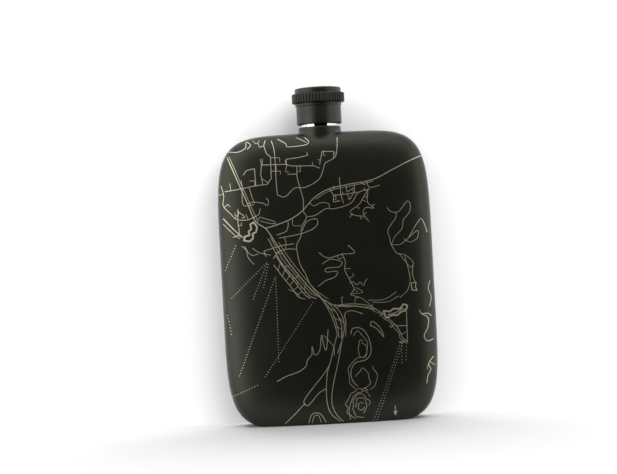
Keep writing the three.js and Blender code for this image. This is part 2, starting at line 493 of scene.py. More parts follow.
def raw_object(
    name: str,
    points: Iterable[Place],
    edges: Sequence[tuple[int, int]] = (),
    faces: Sequence[Sequence[int]] = (),
) -> Object:
    """Makes an object of vertices, edges and faces, as they are.

    Args:
        name: The piece's name.
        points: The vertices, in millimetres.
        edges: The vertex numbers of each edge that belongs to no face.
        faces: The vertex numbers of each face.

    Returns:
        The new object, in the scene.
    """
    mesh = bpy.data.meshes.new(name)
    mesh.from_pydata([(x * MM, y * MM, z * MM) for x, y, z in points], edges, faces)
    return place_object(name, mesh)


def close_mesh(mesh: bpy.types.Mesh, crease: float = CREASE) -> None:
    """Merges doubles, turns faces outwards and smooths all but the sharp edges.

    Args:
        mesh: The mesh to finish.
        crease: The angle in degrees past which an edge stays sharp.
    """
    work = bmesh.new()
    work.from_mesh(mesh)
    bmesh.ops.remove_doubles(work, verts=work.verts, dist=MERGE * MM)
    bmesh.ops.dissolve_degenerate(work, edges=work.edges, dist=COLLAPSE * MM)
    bmesh.ops.recalc_face_normals(work, faces=work.faces)
    work.to_mesh(mesh)
    work.free()
    mesh.shade_smooth()
    mesh.set_sharp_from_angle(angle=math.radians(crease))


class Skin:
    """Closed rows of points that are joined into one surface."""

    def __init__(self) -> None:
        """Starts with no rows."""
        self.points: list[Place] = []
        self.rows: list[list[int]] = []

    def row(self, points: Sequence[Place]) -> None:
        """Adds a row of points."""
        self.rows.append([len(self.points) + k for k in range(len(points))])
        self.points += points

    def pole(self, point: Place, count: int) -> None:
        """Adds one point that stands for a row of this many."""
        self.rows.append([len(self.points)] * count)
        self.points.append(point)

    def build(self, name: str, closed: bool) -> Object:
        """Joins each row to the next.

        Args:
            name: The piece's name.
            closed: Whether the last row joins the first.

        Returns:
            The piece, with its faces outwards.
        """
        faces = []
        for row, after in zip(self.rows, self.rows[1:] + (self.rows[:1] if closed else [])):
            for k in range(len(row)):
                n = (k + 1) % len(row)
                corners = tuple(dict.fromkeys((row[k], row[n], after[n], after[k])))
                if len(corners) > 2:
                    faces.append(corners)
        obj = raw_object(name, self.points, faces=faces)
        close_mesh(obj.data)
        return obj


@dataclass(frozen=True)
class Section:
    """The section of a turned piece: radius, height and rounding of each corner."""

    corners: tuple[Place, ...]
    steps: int = 5

    def outline(self) -> list[Spot]:
        """Walks the section, with a curve of a few steps at each rounded corner.

        Returns:
            Radius and height of each point.
        """
        found: list[Spot] = []
        for k, (radius, height, rounding) in enumerate(self.corners):
            here = Vector((radius, height))
            if rounding <= 0:
                found.append((radius, height))
                continue
            before = Vector(self.corners[k - 1][:2]) - here
            after = Vector(self.corners[(k + 1) % len(self.corners)][:2]) - here
            start = here + before.normalized() * min(rounding, before.length / 2)
            end = here + after.normalized() * min(rounding, after.length / 2)
            for step in range(self.steps + 1):
                share = step / self.steps
                found.append(tuple(start.lerp(here, share).lerp(here.lerp(end, share), share)))
        return found

    def turn(self, name: str, centre_y: float, segments: int = 192) -> Object:
        """Turns the section about a vertical axis.

        Args:
            name: The piece's name.
            centre_y: Where the axis stands along Y.
            segments: How many steps go round.

        Returns:
            The turned piece.
        """
        skin = Skin()
        outline = self.outline()
        angles = [TURN * k / segments for k in range(segments)]
        for radius, height in outline:
            if radius < POLE_RADIUS:
                skin.pole((0.0, centre_y, height), segments)
                continue
            skin.row([(radius * math.cos(a), centre_y + radius * math.sin(a), height) for a in angles])
        return skin.build(name, closed=outline[0][0] > POLE_RADIUS)


class SubAssembly:
    """A group of pieces that are made and handed over together."""

    @staticmethod
    def hand_over(obj: Object, part: Part, finish: PieceFinish, *replaces: str) -> None:
        """Dresses a piece and says what it rides on and stands for.

        Args:
            obj: The finished piece.
            part: The body that it moves with.
            finish: What it is finished in.
            replaces: The frame's nodes that it stands for.
        """
        obj.data.materials.clear()
        obj.data.materials.append(finish.material())
        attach(obj, part.value)
        if replaces:
            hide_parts(*replaces)
        LOG.info("%s: %d faces, on %s", obj.name, len(obj.data.polygons), part.value)


# ----------------------------------------------------------------------------------------
# The body


@dataclass(frozen=True)
class BodyForm:
    """The rule that the body's outer surface follows."""

    half_width: float
    neck_y: float
    half_height: float = 65.4
    mid_height: float = 63.9
    half_thickness: float = 12.0
    bow: float = 4.5
    outline_power: float = 6.0
    crown_power: float = 8.0
    rim_power: float = 5.0
    base_blend: float = 0.9

    @classmethod
    def from_frame(cls) -> "BodyForm":
        """Reads the width and the neck's place from the frame."""
        turn = next(j for j in frame["joints"] if j["name"] == "cap_turn")
        return cls(half_width=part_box("front_shell")[1][0] / MM, neck_y=turn["pos_m"][1] / MM)

    def seam_y(self, x: float) -> float:
        """Gives the depth of the seam, which bows back towards the sides."""
        return self.neck_y + self.bow * (x / self.half_width) ** 2

    def fullness(self, level: float) -> float:
        """Gives the share of the half thickness at a level from 0, the middle, to 1, the rim."""
        return max(0.0, 1 - level**self.crown_power) ** (1 / self.rim_power)

    def settle(self, z: float) -> float:
        """Flattens the lowest part of the outline on to the base, with a soft turn."""
        share = min(1.0, max(0.0, 0.5 + 0.5 * z / self.base_blend))
        return z * share + self.base_blend * share * (1 - share)

    def shoulder_z(self, x: float, y: float) -> float:
        """Gives the height of the shoulder's outer surface over a place.

        Args:
            x: The place along X.
            y: The place along Y.

        Returns:
            The height.
        """
        depth = min(1.0, abs(y - self.seam_y(x)) / self.half_thickness)
        level = (1 - depth**self.rim_power) ** (1 / self.crown_power)
        rest = level**self.outline_power - abs(x / self.half_width) ** self.outline_power
        return self.mid_height + self.half_height * rest ** (1 / self.outline_power)

    def outline(self, count: int, fine: int = 6000) -> list[Spot]:
        """Spaces points evenly round the rim.

        Args:
            count: How many points to make.
            fine: How many steps the rim is measured in.

        Returns:
            Each point's share of the half width and of the half height.
        """
        power = self.outline_power
        walk: list[Spot] = []
        lengths = [0.0]
        for k in range(fine + 1):
            sides = (math.cos(TURN * k / fine), math.sin(TURN * k / fine))
            across, up = (math.copysign(abs(side) ** (2 / power), side) for side in sides)
            walk.append((across, up))
            if k:
                x, z = walk[k - 1]
                step = math.hypot((across - x) * self.half_width, (up - z) * self.half_height)
                lengths.append(lengths[-1] + step)
        spots = []
        for k in range(count):
            target = lengths[-1] * k / count
            n = max(1, bisect_left(lengths, target))
            share = (target - lengths[n - 1]) / max(1e-9, lengths[n] - lengths[n - 1])
            (x0, z0), (x1, z1) = walk[n - 1], walk[n]
            across, up = x0 + (x1 - x0) * share, z0 + (z1 - z0) * share
            size = (abs(across) ** power + abs(up) ** power) ** (1 / power)
            spots.append((across / size, up / size))
        return spots

    def rim_path(self, inset: float, foot: float, count: int) -> list[Place]:
        """Gives points along the seam, set in from the rim and no lower than the foot.

        Args:
            inset: How far in from the rim they lie.
            foot: The least height of a point.
            count: How many points to make.

        Returns:
            The points, in order round the rim.
        """
        points = []
        for across, up in self.outline(count):
            x = across * (self.half_width - inset)
            z = self.settle(self.mid_height + up * (self.half_height - inset) - foot) + foot
            points.append((x, self.seam_y(x), z))
        return points


@dataclass
class Vessel(SubAssembly):
    """The two half shells and the weld round their rim."""

    form: BodyForm
    wall: float = 0.6
    hole_radius: float = 7.45
    hole_bottom: float = 112.0
    hole_top: float = 136.0
    seam_half_gap: float = 0.05
    edge_round: float = 0.16
    bead_radius: float = 0.2
    bead_overlap: float = 0.03
    bead_sides: int = 8
    bead_step: float = 0.25
    ripple: float = 0.05
    ripple_pitch: float = 0.7
    around: int = 360
    bead_points: int = 720
    rim_rings: int = 40
    face_rings: int = 9
    face_share: float = 0.72
    lining_rings: int = 14
    shells: dict[Side, Object] = field(default_factory=dict)

    def skin_rows(self) -> list[Place]:
        """Lists a half shell's rows, from the middle of its outside to that of its inside.

        Returns:
            Each row's inset from the outer surface, its level and its depth from the seam.
        """
        form, gap, turned = self.form, self.seam_half_gap, self.edge_round
        levels = [self.face_share * k / self.face_rings for k in range(self.face_rings)]
        first = math.asin(self.face_share ** (form.crown_power / 2))
        for k in range(self.rim_rings):
            angle = first + (TURN / 4 - first) * k / self.rim_rings
            levels.append(math.sin(angle) ** (2 / form.crown_power))
        rows = [(0.0, level, form.half_thickness * form.fullness(level)) for level in levels]
        rows += [
            (0.0, 1.0, gap + turned),
            (0.3 * turned, 1.0, gap + 0.3 * turned),
            (turned, 1.0, gap),
            (self.wall, 1.0, gap),
        ]
        inner = form.half_thickness - self.wall
        for k in range(1, self.lining_rings):
            level = math.cos(TURN / 4 * k / self.lining_rings) ** (2 / form.crown_power)
            rows.append((self.wall, level, inner * form.fullness(level)))
        return rows + [(self.wall, 0.0, inner)]

    def half_shell(self, side: Side, spots: Sequence[Spot]) -> Object:
        """Builds one drawn half shell with a wall and the neck's hole.

        Args:
            side: Which half to build.
            spots: The directions of its columns round the rim.

        Returns:
            The shell.
        """
        form, skin = self.form, Skin()
        for inset, level, depth in self.skin_rows():
            if level == 0.0:
                skin.pole((0.0, form.seam_y(0.0) + side.value * depth, form.mid_height), len(spots))
                continue
            row = []
            for across, up in spots:
                x = across * level * (form.half_width - inset)
                z = form.settle(form.mid_height + up * level * (form.half_height - inset) - inset) + inset
                row.append((x, form.seam_y(x) + side.value * depth, z))
            skin.row(row)
        shell = skin.build(f"{side.name.lower()}_half_shell", closed=False)
        self.pierce(shell)
        return shell

    def pierce(self, shell: Object) -> None:
        """Cuts the neck's hole through the top of a shell.

        Args:
            shell: The shell to cut.
        """
        low, high, reach = self.hole_bottom, self.hole_top, self.hole_radius
        corners = ((0, low, 0), (reach, low, 0), (reach, high, 0), (0, high, 0))
        plug = Section(corners).turn("neck_hole_plug", self.form.neck_y, 96)
        cut = shell.modifiers.new("neck_hole", "BOOLEAN")
        cut.operation = "DIFFERENCE"
        cut.solver = "EXACT"
        cut.object = plug
        bake(shell)
        bpy.data.objects.remove(plug, do_unlink=True)
        close_mesh(shell.data)

    def weld(self) -> Object:
        """Lays a rippled weld bead in the groove between the shells.

        Returns:
            The bead.
        """
        inset = self.bead_radius - self.bead_overlap
        path = self.form.rim_path(inset, self.bead_radius, self.bead_points)
        bead = raw_object("rim_weld", path, [(k, (k + 1) % len(path)) for k in range(len(path))])
        values = {
            "Bead Radius": self.bead_radius * MM,
            "Ripple": self.ripple,
            "Ripple Pitch": self.ripple_pitch * MM,
            "Spacing": self.bead_step * MM,
            "Material": BODY_COAT.material(),
        }
        graph = ShapeGraph("weld_bead", values)
        given = graph.given
        even = graph.even(graph.out("GeometryNodeMeshToCurve", {0: given["Geometry"]}))
        along = graph.add("GeometryNodeSplineParameter").outputs["Length"]
        phase = graph.math("MULTIPLY", graph.math("DIVIDE", along, given["Ripple Pitch"]), TURN)
        swell = graph.math("MULTIPLY", graph.math("SINE", phase), given["Ripple"])
        size = graph.math("ADD", swell, 1.0)
        circle = {"Resolution": self.bead_sides, "Radius": given["Bead Radius"]}
        profile = graph.out("GeometryNodeCurvePrimitiveCircle", circle)
        graph.close(graph.sweep(even, size, profile, capped=False), smooth=True)
        graph.make(bead)
        return bead

    def build(self) -> None:
        """Builds and hands over the shells and the weld."""
        spots = self.form.outline(self.around)
        for side in Side:
            self.shells[side] = self.half_shell(side, spots)
            self.hand_over(self.shells[side], Part.FLASK, BODY_COAT, f"{side.name.lower()}_shell")
        self.hand_over(self.weld(), Part.FLASK, BODY_COAT)


# ----------------------------------------------------------------------------------------
# Screw thread, neck and collar


@dataclass(frozen=True)
class Thread:
    """One helical ridge on a round wall, which fades in and out."""

    axis_y: float
    wall_radius: float
    height: float
    start_turn: float
    turns: float
    start: float = 136.2
    pitch: float = 3.0
    width: float = 1.5
    fade_turns: float = 0.2
    end_size: float = 0.04
    ridge_sides: int = 14
    steps_a_turn: float = 96.0

    def cut_on(self, piece: Object, finish: Finish) -> None:
        """Runs the ridge round a turned piece.

        Args:
            piece: The piece that gets the ridge.
            finish: The finish of both.
        """
        values = {
            "Wall Radius": self.wall_radius * MM,
            "Ridge Height": self.height * MM,
            "Ridge Width": self.width * MM,
            "Pitch": self.pitch * MM,
            "Turns": self.turns,
            "Start Height": self.start * MM,
            "Start Turn": self.start_turn,
            "Axis Y": self.axis_y * MM,
            "Fade Turns": self.fade_turns,
            "Material": finish.material(),
        }
        graph = ShapeGraph("thread_ridge", values)
        given, calc = graph.given, graph.math
        line = {
            "Curve": graph.out("GeometryNodeCurvePrimitiveLine", {"End": (0.0, 0.0, 1.0)}),
            "Count": calc("MULTIPLY", given["Turns"], self.steps_a_turn),
        }
        share = graph.add("GeometryNodeSplineParameter").outputs["Factor"]
        along = calc("MULTIPLY", share, given["Turns"])
        angle = calc("MULTIPLY", calc("ADD", along, given["Start Turn"]), TURN)
        x = calc("MULTIPLY", calc("COSINE", angle), given["Wall Radius"])
        y = calc("MULTIPLY", calc("SINE", angle), given["Wall Radius"])
        z = calc("ADD", given["Start Height"], calc("MULTIPLY", along, given["Pitch"]))
        helix = {
            "Geometry": graph.out("GeometryNodeResampleCurve", line),
            "Position": graph.triple(x, calc("ADD", y, given["Axis Y"]), z),
        }
        moved = graph.out("GeometryNodeSetPosition", helix)
        upright = graph.out("GeometryNodeSetCurveNormal", {"Curve": moved}, mode="Z_UP")
        nearer = calc("MINIMUM", along, calc("SUBTRACT", given["Turns"], along))
        fade = calc("DIVIDE", nearer, given["Fade Turns"])
        size = calc("MINIMUM", calc("ADD", fade, self.end_size), 1.0)
        circle = {"Resolution": self.ridge_sides, "Radius": 1.0}
        half_width = calc("MULTIPLY", given["Ridge Width"], 0.5)
        oval = {
            "Geometry": graph.out("GeometryNodeCurvePrimitiveCircle", circle),
            "Scale": graph.triple(given["Ridge Height"], half_width, 1.0),
        }
        ridge = graph.sweep(upright, size, graph.out("GeometryNodeTransform", oval), capped=True)
        both = graph.add("GeometryNodeJoinGeometry")
        for shape in (ridge, given["Geometry"]):
            graph.tree.links.new(shape, both.inputs[0])
        graph.close(both.outputs[0], smooth=True)
        graph.make(piece)
        piece.data.set_sharp_from_angle(angle=math.radians(CREASE))


@dataclass
class NeckAndCollar(SubAssembly):
    """The coated collar that stands on the shoulder, and the polished neck inside it."""

    form: BodyForm
    collar_top: float = 132.0
    collar_radius: float = 9.4
    collar_bore: float = 7.4
    counterbore: float = 8.6
    counterbore_floor: float = 130.5
    edge: float = 0.3
    inner_edge: float = 0.1
    fillet: float = 1.25
    sunk: float = 0.2
    side_steps: int = 4
    fillet_steps: int = 7
    around: int = 240
    shank: float = 7.2
    bore: float = 6.25
    foot: float = 124.5
    lip: float = 143.0
    lip_round: float = 0.42
    band: float = 8.4
    band_bottom: float = 130.7
    band_top: float = 134.0
    band_slope: float = 0.5

    def shoulder(self, angle: float, radius: float) -> Spot:
        """Gives the radius and height of the shoulder's surface, out from the neck at an angle."""
        x, y = radius * math.cos(angle), self.form.neck_y + radius * math.sin(angle)
        return radius, self.form.shoulder_z(x, y)

    def collar_column(self, angle: float) -> list[Spot]:
        """Gives the collar's section at an angle, where its foot meets the shoulder.

        Args:
            angle: The direction from the neck's axis.

        Returns:
            Radius and height of each point.
        """
        radius, top, edge = self.collar_radius, self.collar_top, self.edge
        foot = Vector(self.shoulder(angle, radius))
        above = foot + Vector((0, self.fillet))
        beyond = Vector(self.shoulder(angle, radius + self.fillet))
        column = [(radius - edge, top), (radius - 0.3 * edge, top - 0.3 * edge), (radius, top - edge)]
        drop = (top - edge) - above.y
        column += [(radius, top - edge - drop * k / self.side_steps) for k in range(1, self.side_steps)]
        for k in range(self.fillet_steps + 1):
            share = k / self.fillet_steps
            column.append(tuple(above.lerp(foot, share).lerp(foot.lerp(beyond, share), share)))
        return column + [
            (beyond.x - 0.5 * self.sunk, beyond.y - self.sunk),
            (self.collar_bore, self.shoulder(angle, self.collar_bore)[1] - self.sunk),
            (self.collar_bore, self.counterbore_floor),
            (self.counterbore, self.counterbore_floor),
            (self.counterbore, top - self.inner_edge),
            (self.counterbore + self.inner_edge, top),
        ]

    def collar(self) -> Object:
        """Builds the collar with its filleted, saddle-shaped foot.

        Returns:
            The collar.
        """
        skin = Skin()
        for k in range(self.around):
            angle = TURN * k / self.around
            across, along = math.cos(angle), math.sin(angle)
            column = self.collar_column(angle)
            skin.row([(r * across, self.form.neck_y + r * along, z) for r, z in column])
        return skin.build("shoulder_collar", closed=True)

    def neck(self) -> Object:
        """Builds the polished neck with its thread.

        Returns:
            The neck and its thread, in one piece.
        """
        section = Section(
            (
                (self.bore, self.foot, 0.2),
                (self.shank, self.foot, 0.3),
                (self.shank, self.band_bottom, 0.1),
                (self.band, self.band_bottom, 0.15),
                (self.band, self.band_top, 0.35),
                (self.shank, self.band_top + self.band_slope, 0.3),
                (self.shank, self.lip, self.lip_round),
                (self.bore, self.lip, self.lip_round),
            )
        )
        neck = section.turn("threaded_neck", self.form.neck_y)
        thread = Thread(self.form.neck_y, self.shank, height=0.93, start_turn=0.0, turns=1.75)
        thread.cut_on(neck, POLISHED)
        return neck

    def build(self) -> None:
        """Builds and hands over the collar and the neck."""
        self.hand_over(self.collar(), Part.FLASK, BODY_COAT, "neck_collar")
        self.hand_over(self.neck(), Part.FLASK, POLISHED, "neck")


# ----------------------------------------------------------------------------------------
# The cap


@dataclass
class ScrewCap(SubAssembly):
    """The sleeve, grip ring and top disc, with the thread insert and the sealing disc."""

    axis_y: float
    skirt_bottom: float
    top: float
    skirt: float = 10.0
    lip_draft: float = 0.12
    lip_height: float = 0.6
    bore: float = 9.2
    ledge: float = 10.35
    ledge_bottom: float = 141.3
    ledge_slope: float = 0.18
    ledge_top: float = 142.5
    seat: float = 9.75
    seat_top: float = 146.9
    ring_bottom: float = 142.8
    ring_top: float = 147.0
    ring_tip: float = 11.75
    ring_root: float = 11.2
    ring_weld: float = 0.002
    ring_crease: float = 50.0
    ribs: int = 50
    rib_steps: int = 10
    rib_swell: float = 1.6
    rib_gap: float = 0.3
    spigot_bottom: float = 145.3
    disc_bottom: float = 147.1
    crown: tuple[Place, ...] = ((1.0, 0.42, 0.55), (0.8, 0.1, 0.5), (0.4, 0.01, 1.5))
    insert_bore: float = 8.45
    insert_bottom: float = 134.8
    insert_top: float = 145.0
    seal_bottom: float = 143.15
    seal_radius: float = 8.15
    land_inner: float = 5.95
    land_outer: float = 7.6
    land_rise: float = 0.3
    land_slope: float = 0.4
    fit: float = 0.05

    @classmethod
    def from_frame(cls, form: BodyForm) -> "ScrewCap":
        """Reads the cap's lower and upper ends from the frame."""
        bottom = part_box("cap_sleeve")[0][2] / MM
        return cls(axis_y=form.neck_y, skirt_bottom=bottom, top=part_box("cap_top")[1][2] / MM)

    def sleeve(self) -> Object:
        """Builds the skirt with its rolled lip, its ledge and the ring's seat.

        Returns:
            The skirt.
        """
        section = Section(
            (
                (self.bore, self.skirt_bottom, 0.2),
                (self.skirt - self.lip_draft, self.skirt_bottom, 0.34),
                (self.skirt, self.skirt_bottom + self.lip_height, 0.25),
                (self.skirt, self.ledge_bottom, 0.12),
                (self.ledge, self.ledge_bottom + self.ledge_slope, 0.14),
                (self.ledge, self.ledge_top, 0.16),
                (self.seat, self.ledge_top, 0.05),
                (self.seat, self.seat_top, 0.1),
                (self.bore, self.seat_top, 0.1),
            )
        )
        return section.turn("cap_skirt", self.axis_y)

    def rib_sector(self) -> Object:
        """Builds the slice of the ring that holds one rib, open at its two cut faces.

        Returns:
            The slice, with the ring's axis through the origin.
        """
        skin, inner = Skin(), self.seat + self.fit
        for k in range(self.rib_steps + 1):
            share = k / self.rib_steps
            angle = TURN * share / self.ribs
            wave = 0.5 - 0.5 * math.cos(TURN * share)
            rise = min(1.0, max(0.0, self.rib_swell * wave - self.rib_gap))
            rise = rise * rise * (3 - 2 * rise)
            outer = self.ring_root + (self.ring_tip - self.ring_root) * rise
            corners = (
                (inner, self.ring_bottom, 0.0),
                (outer, self.ring_bottom, 0.55),
                (outer, self.ring_top, 0.6),
                (inner, self.ring_top, 0.0),
            )
            outline = Section(corners, steps=4).outline()
            skin.row([(r * math.cos(angle), r * math.sin(angle), z) for r, z in outline])
        return skin.build("rib_sector", closed=False)

    def ring(self) -> Object:
        """Builds the ribbed ring from copies of its slice, set round the axis and welded.

        Returns:
            The ring.
        """
        cut = self.rib_sector()
        ring = raw_object("ribbed_grip_ring", [])
        values = {
            "Slice": cut,
            "Ribs": self.ribs,
            "Axis Y": self.axis_y * MM,
            "Weld": self.ring_weld * MM,
            "Material": CAP_COAT.material(),
        }
        graph = ShapeGraph("ribbed_ring", values)
        given = graph.given
        places = {
            "Count": given["Ribs"],
            "Start Location": graph.triple(0.0, given["Axis Y"], 0.0),
            "Offset": (0.0, 0.0, 0.0),
        }
        number = graph.math("DIVIDE", graph.out("GeometryNodeInputIndex"), given["Ribs"])
        turn = graph.triple(0.0, 0.0, graph.math("MULTIPLY", number, TURN))
        copies = {
            "Points": graph.out("GeometryNodeMeshLine", places),
            "Instance": graph.shape_of("Slice"),
            "Rotation": graph.out("FunctionNodeEulerToRotation", {0: turn}),
        }
        slices = graph.out("GeometryNodeInstanceOnPoints", copies)
        real = graph.out("GeometryNodeRealizeInstances", {0: slices})
        whole = {"Geometry": real, "Distance": given["Weld"]}
        graph.close(graph.out("GeometryNodeMergeByDistance", whole), smooth=True)
        graph.make(ring)
        bpy.data.objects.remove(cut, do_unlink=True)
        close_mesh(ring.data, self.ring_crease)
        return ring

    def disc(self) -> Object:
        """Builds the top disc with its rounded edge, low crown and pressed-in spigot.

        Returns:
            The disc.
        """
        spigot = self.bore - 3 * self.fit
        section = Section(
            (
                (0.0, self.spigot_bottom, 0.0),
                (spigot, self.spigot_bottom, 0.2),
                (spigot, self.disc_bottom, self.fit),
                (self.ledge - self.fit, self.disc_bottom, 0.1),
                *((self.ledge * share, self.top - drop, turn) for share, drop, turn in self.crown),
                (0.0, self.top, 0.0),
            )
        )
        return section.turn("cap_top_disc", self.axis_y)

    def insert(self) -> Object:
        """Builds the plastic insert with its female thread.

        Returns:
            The insert.
        """
        root, outer = self.insert_bore, self.bore - 4 * self.fit
        low, high = self.insert_bottom, self.insert_top
        section = Section(((root, low, 0.15), (outer, low, 0.2), (outer, high, 0.1), (root, high, 0.1)))
        insert = section.turn("threaded_insert", self.axis_y)
        Thread(self.axis_y, root, height=0.95, start_turn=0.5, turns=1.6).cut_on(insert, LINER)
        return insert

    def seal(self) -> Object:
        """Builds the sealing disc, with a raised land that meets the neck's lip.

        Returns:
            The disc.
        """
        low, high, reach = self.seal_bottom, self.insert_top, self.seal_radius
        section = Section(
            (
                (0.0, low + self.land_rise, 0.0),
                (self.land_inner - self.land_slope, low + self.land_rise, 0.15),
                (self.land_inner, low, 0.15),
                (self.land_outer, low, 0.15),
                (reach, low + 0.25, 0.2),
                (reach, high, 0.15),
                (0.0, high, 0.0),
            )
        )
        return section.turn("sealing_disc", self.axis_y)

    def build(self) -> None:
        """Builds and hands over the cap's pieces."""
        self.hand_over(self.sleeve(), Part.CAP, CAP_COAT, "cap_sleeve")
        self.hand_over(self.ring(), Part.CAP, CAP_COAT, "grip_ring")
        self.hand_over(self.disc(), Part.CAP, CAP_COAT, "cap_top")
        self.hand_over(self.insert(), Part.CAP, LINER, "thread_insert")
        self.hand_over(self.seal(), Part.SEAL, SEALING, "cap_gasket")


# ----------------------------------------------------------------------------------------
# The engraved street map

STRAY = (0.35, 1.0)  # how far a wandering line strays at each turn, as a share of its swing
BRANCH_PLACE = (0.35, 0.65)  # where a side street leaves its own stretch of the street
BRANCH_TURNS = 0.55  # the share of side streets that turn
BRANCH_TURNED = 0.6  # the turned leg's length, as a share of the reach
CONTOUR_STEP = 1.5  # how far apart a contour's points are
CONTOUR_STRETCH = 1.25  # a contour's height, as a share of its width


class Weight(Enum):
    """The widths of the engraved strokes."""

    ROAD = 0.36
    STREET = 0.27
    LANE = 0.21
    BOLD = 0.7


@dataclass(frozen=True)
class Stroke:
    """One engraved line, by the X and Z of its points."""

    weight: Weight
    path: Path
    curved: bool = True
    looped: bool = False

    def beside(self, gap: float, weight: Weight | None = None) -> "Stroke":
        """Copies the stroke to one side.

        Args:
            gap: How far to the left of its direction the copy runs.
            weight: The copy's weight, if it differs.

        Returns:
            The copy.
        """
        moved = []
        for k, (x, z) in enumerate(self.path):
            x0, z0 = self.path[max(0, k - 1)]
            x1, z1 = self.path[min(len(self.path) - 1, k + 1)]
            size = math.hypot(x1 - x0, z1 - z0)
            moved.append((x - gap * (z1 - z0) / size, z + gap * (x1 - x0) / size))
        return Stroke(weight or self.weight, tuple(moved), self.curved, self.looped)

    def at(self, share: float) -> tuple[Vector, Vector]:
        """Finds a place part of the way along, and the direction there.

        Args:
            share: How far along, from 0 to 1.

        Returns:
            The place and the direction.
        """
        points = [Vector(p) for p in self.path]
        legs = [(b - a).length for a, b in zip(points, points[1:])]
        left = share * sum(legs)
        for a, b, leg in zip(points, points[1:], legs):
            if left <= leg:
                return a.lerp(b, left / leg), (b - a).normalized()
            left -= leg
        return points[-1], (points[-1] - points[-2]).normalized()

    def wandering(self, swing: float, pitch: float, seed: int) -> "Stroke":
        """Copies the stroke with a wandering line.

        Args:
            swing: How far it strays to either side.
            pitch: How far apart its turns are.
            seed: The random seed.

        Returns:
            The copy.
        """
        chance = random.Random(seed)
        length = sum(math.dist(a, b) for a, b in zip(self.path, self.path[1:]))
        turns = max(2, round(length / pitch))
        path = []
        for k in range(turns + 1):
            here, ahead = self.at(k / turns)
            stray = swing * chance.uniform(*STRAY) * (1 if k % 2 else -1)
            if k in (0, turns):
                stray = 0.0
            path.append((here.x - stray * ahead.y, here.y + stray * ahead.x))
        return Stroke(self.weight, tuple(path), self.curved, self.looped)

    def branches(self, count: int, reach: Spot, seed: int) -> list["Stroke"]:
        """Grows short side streets, some of which turn.

        Args:
            count: How many to grow.
            reach: Their least and greatest length.
            seed: The random seed.

        Returns:
            The side streets.
        """
        chance = random.Random(seed)
        grown = []
        for k in range(count):
            here, ahead = self.at((k + chance.uniform(*BRANCH_PLACE)) / count)
            aside = Vector((-ahead.y, ahead.x)) * chance.choice((-1, 1))
            end = here + aside * chance.uniform(*reach)
            path = [tuple(here), tuple(end)]
            if chance.random() < BRANCH_TURNS:
                leg = ahead * chance.choice((-1, 1)) * chance.uniform(*reach) * BRANCH_TURNED
                path.append(tuple(end + leg))
            grown.append(Stroke(Weight.LANE, tuple(path), curved=False))
        return grown

    def rungs(self, other: "Stroke", shares: Sequence[float]) -> list["Stroke"]:
        """Joins this stroke to another with cross streets.

        Args:
            other: The street on the far side.
            shares: Where the cross streets meet both, from 0 to 1.

        Returns:
            The cross streets.
        """
        pairs = [(tuple(self.at(share)[0]), tuple(other.at(share)[0])) for share in shares]
        return [Stroke(Weight.LANE, pair, curved=False) for pair in pairs]


def contour(centre: Spot, radius: float, sweep: Spot, wobble: float, seed: int) -> Stroke:
    """Draws part of a wavering ring, as a track round a hill.

    Args:
        centre: The hill's middle.
        radius: The ring's mean radius.
        sweep: Where it starts and ends, as shares of a turn from +X.
        wobble: How far it strays, as a share of the radius.
        seed: The random seed.

    Returns:
        The track.
    """
    chance = random.Random(seed)
    count = max(5, round(abs(sweep[1] - sweep[0]) * TURN * radius / CONTOUR_STEP))
    path = []
    for k in range(count + 1):
        angle = TURN * (sweep[0] + (sweep[1] - sweep[0]) * k / count)
        reach = radius * (1 + wobble * chance.uniform(-1, 1))
        rise = CONTOUR_STRETCH * reach * math.sin(angle)
        path.append((centre[0] + reach * math.cos(angle), centre[1] + rise))
    return Stroke(Weight.LANE, tuple(path))


def road(*path: Spot) -> Stroke:
    """Draws a main road."""
    return Stroke(Weight.ROAD, path)


def street(*path: Spot) -> Stroke:
    """Draws a winding street."""
    return Stroke(Weight.STREET, path)


def block(*path: Spot) -> Stroke:
    """Draws a street with square corners."""
    return Stroke(Weight.STREET, path, curved=False)


def lane(*path: Spot) -> Stroke:
    """Draws a fine winding lane."""
    return Stroke(Weight.LANE, path)


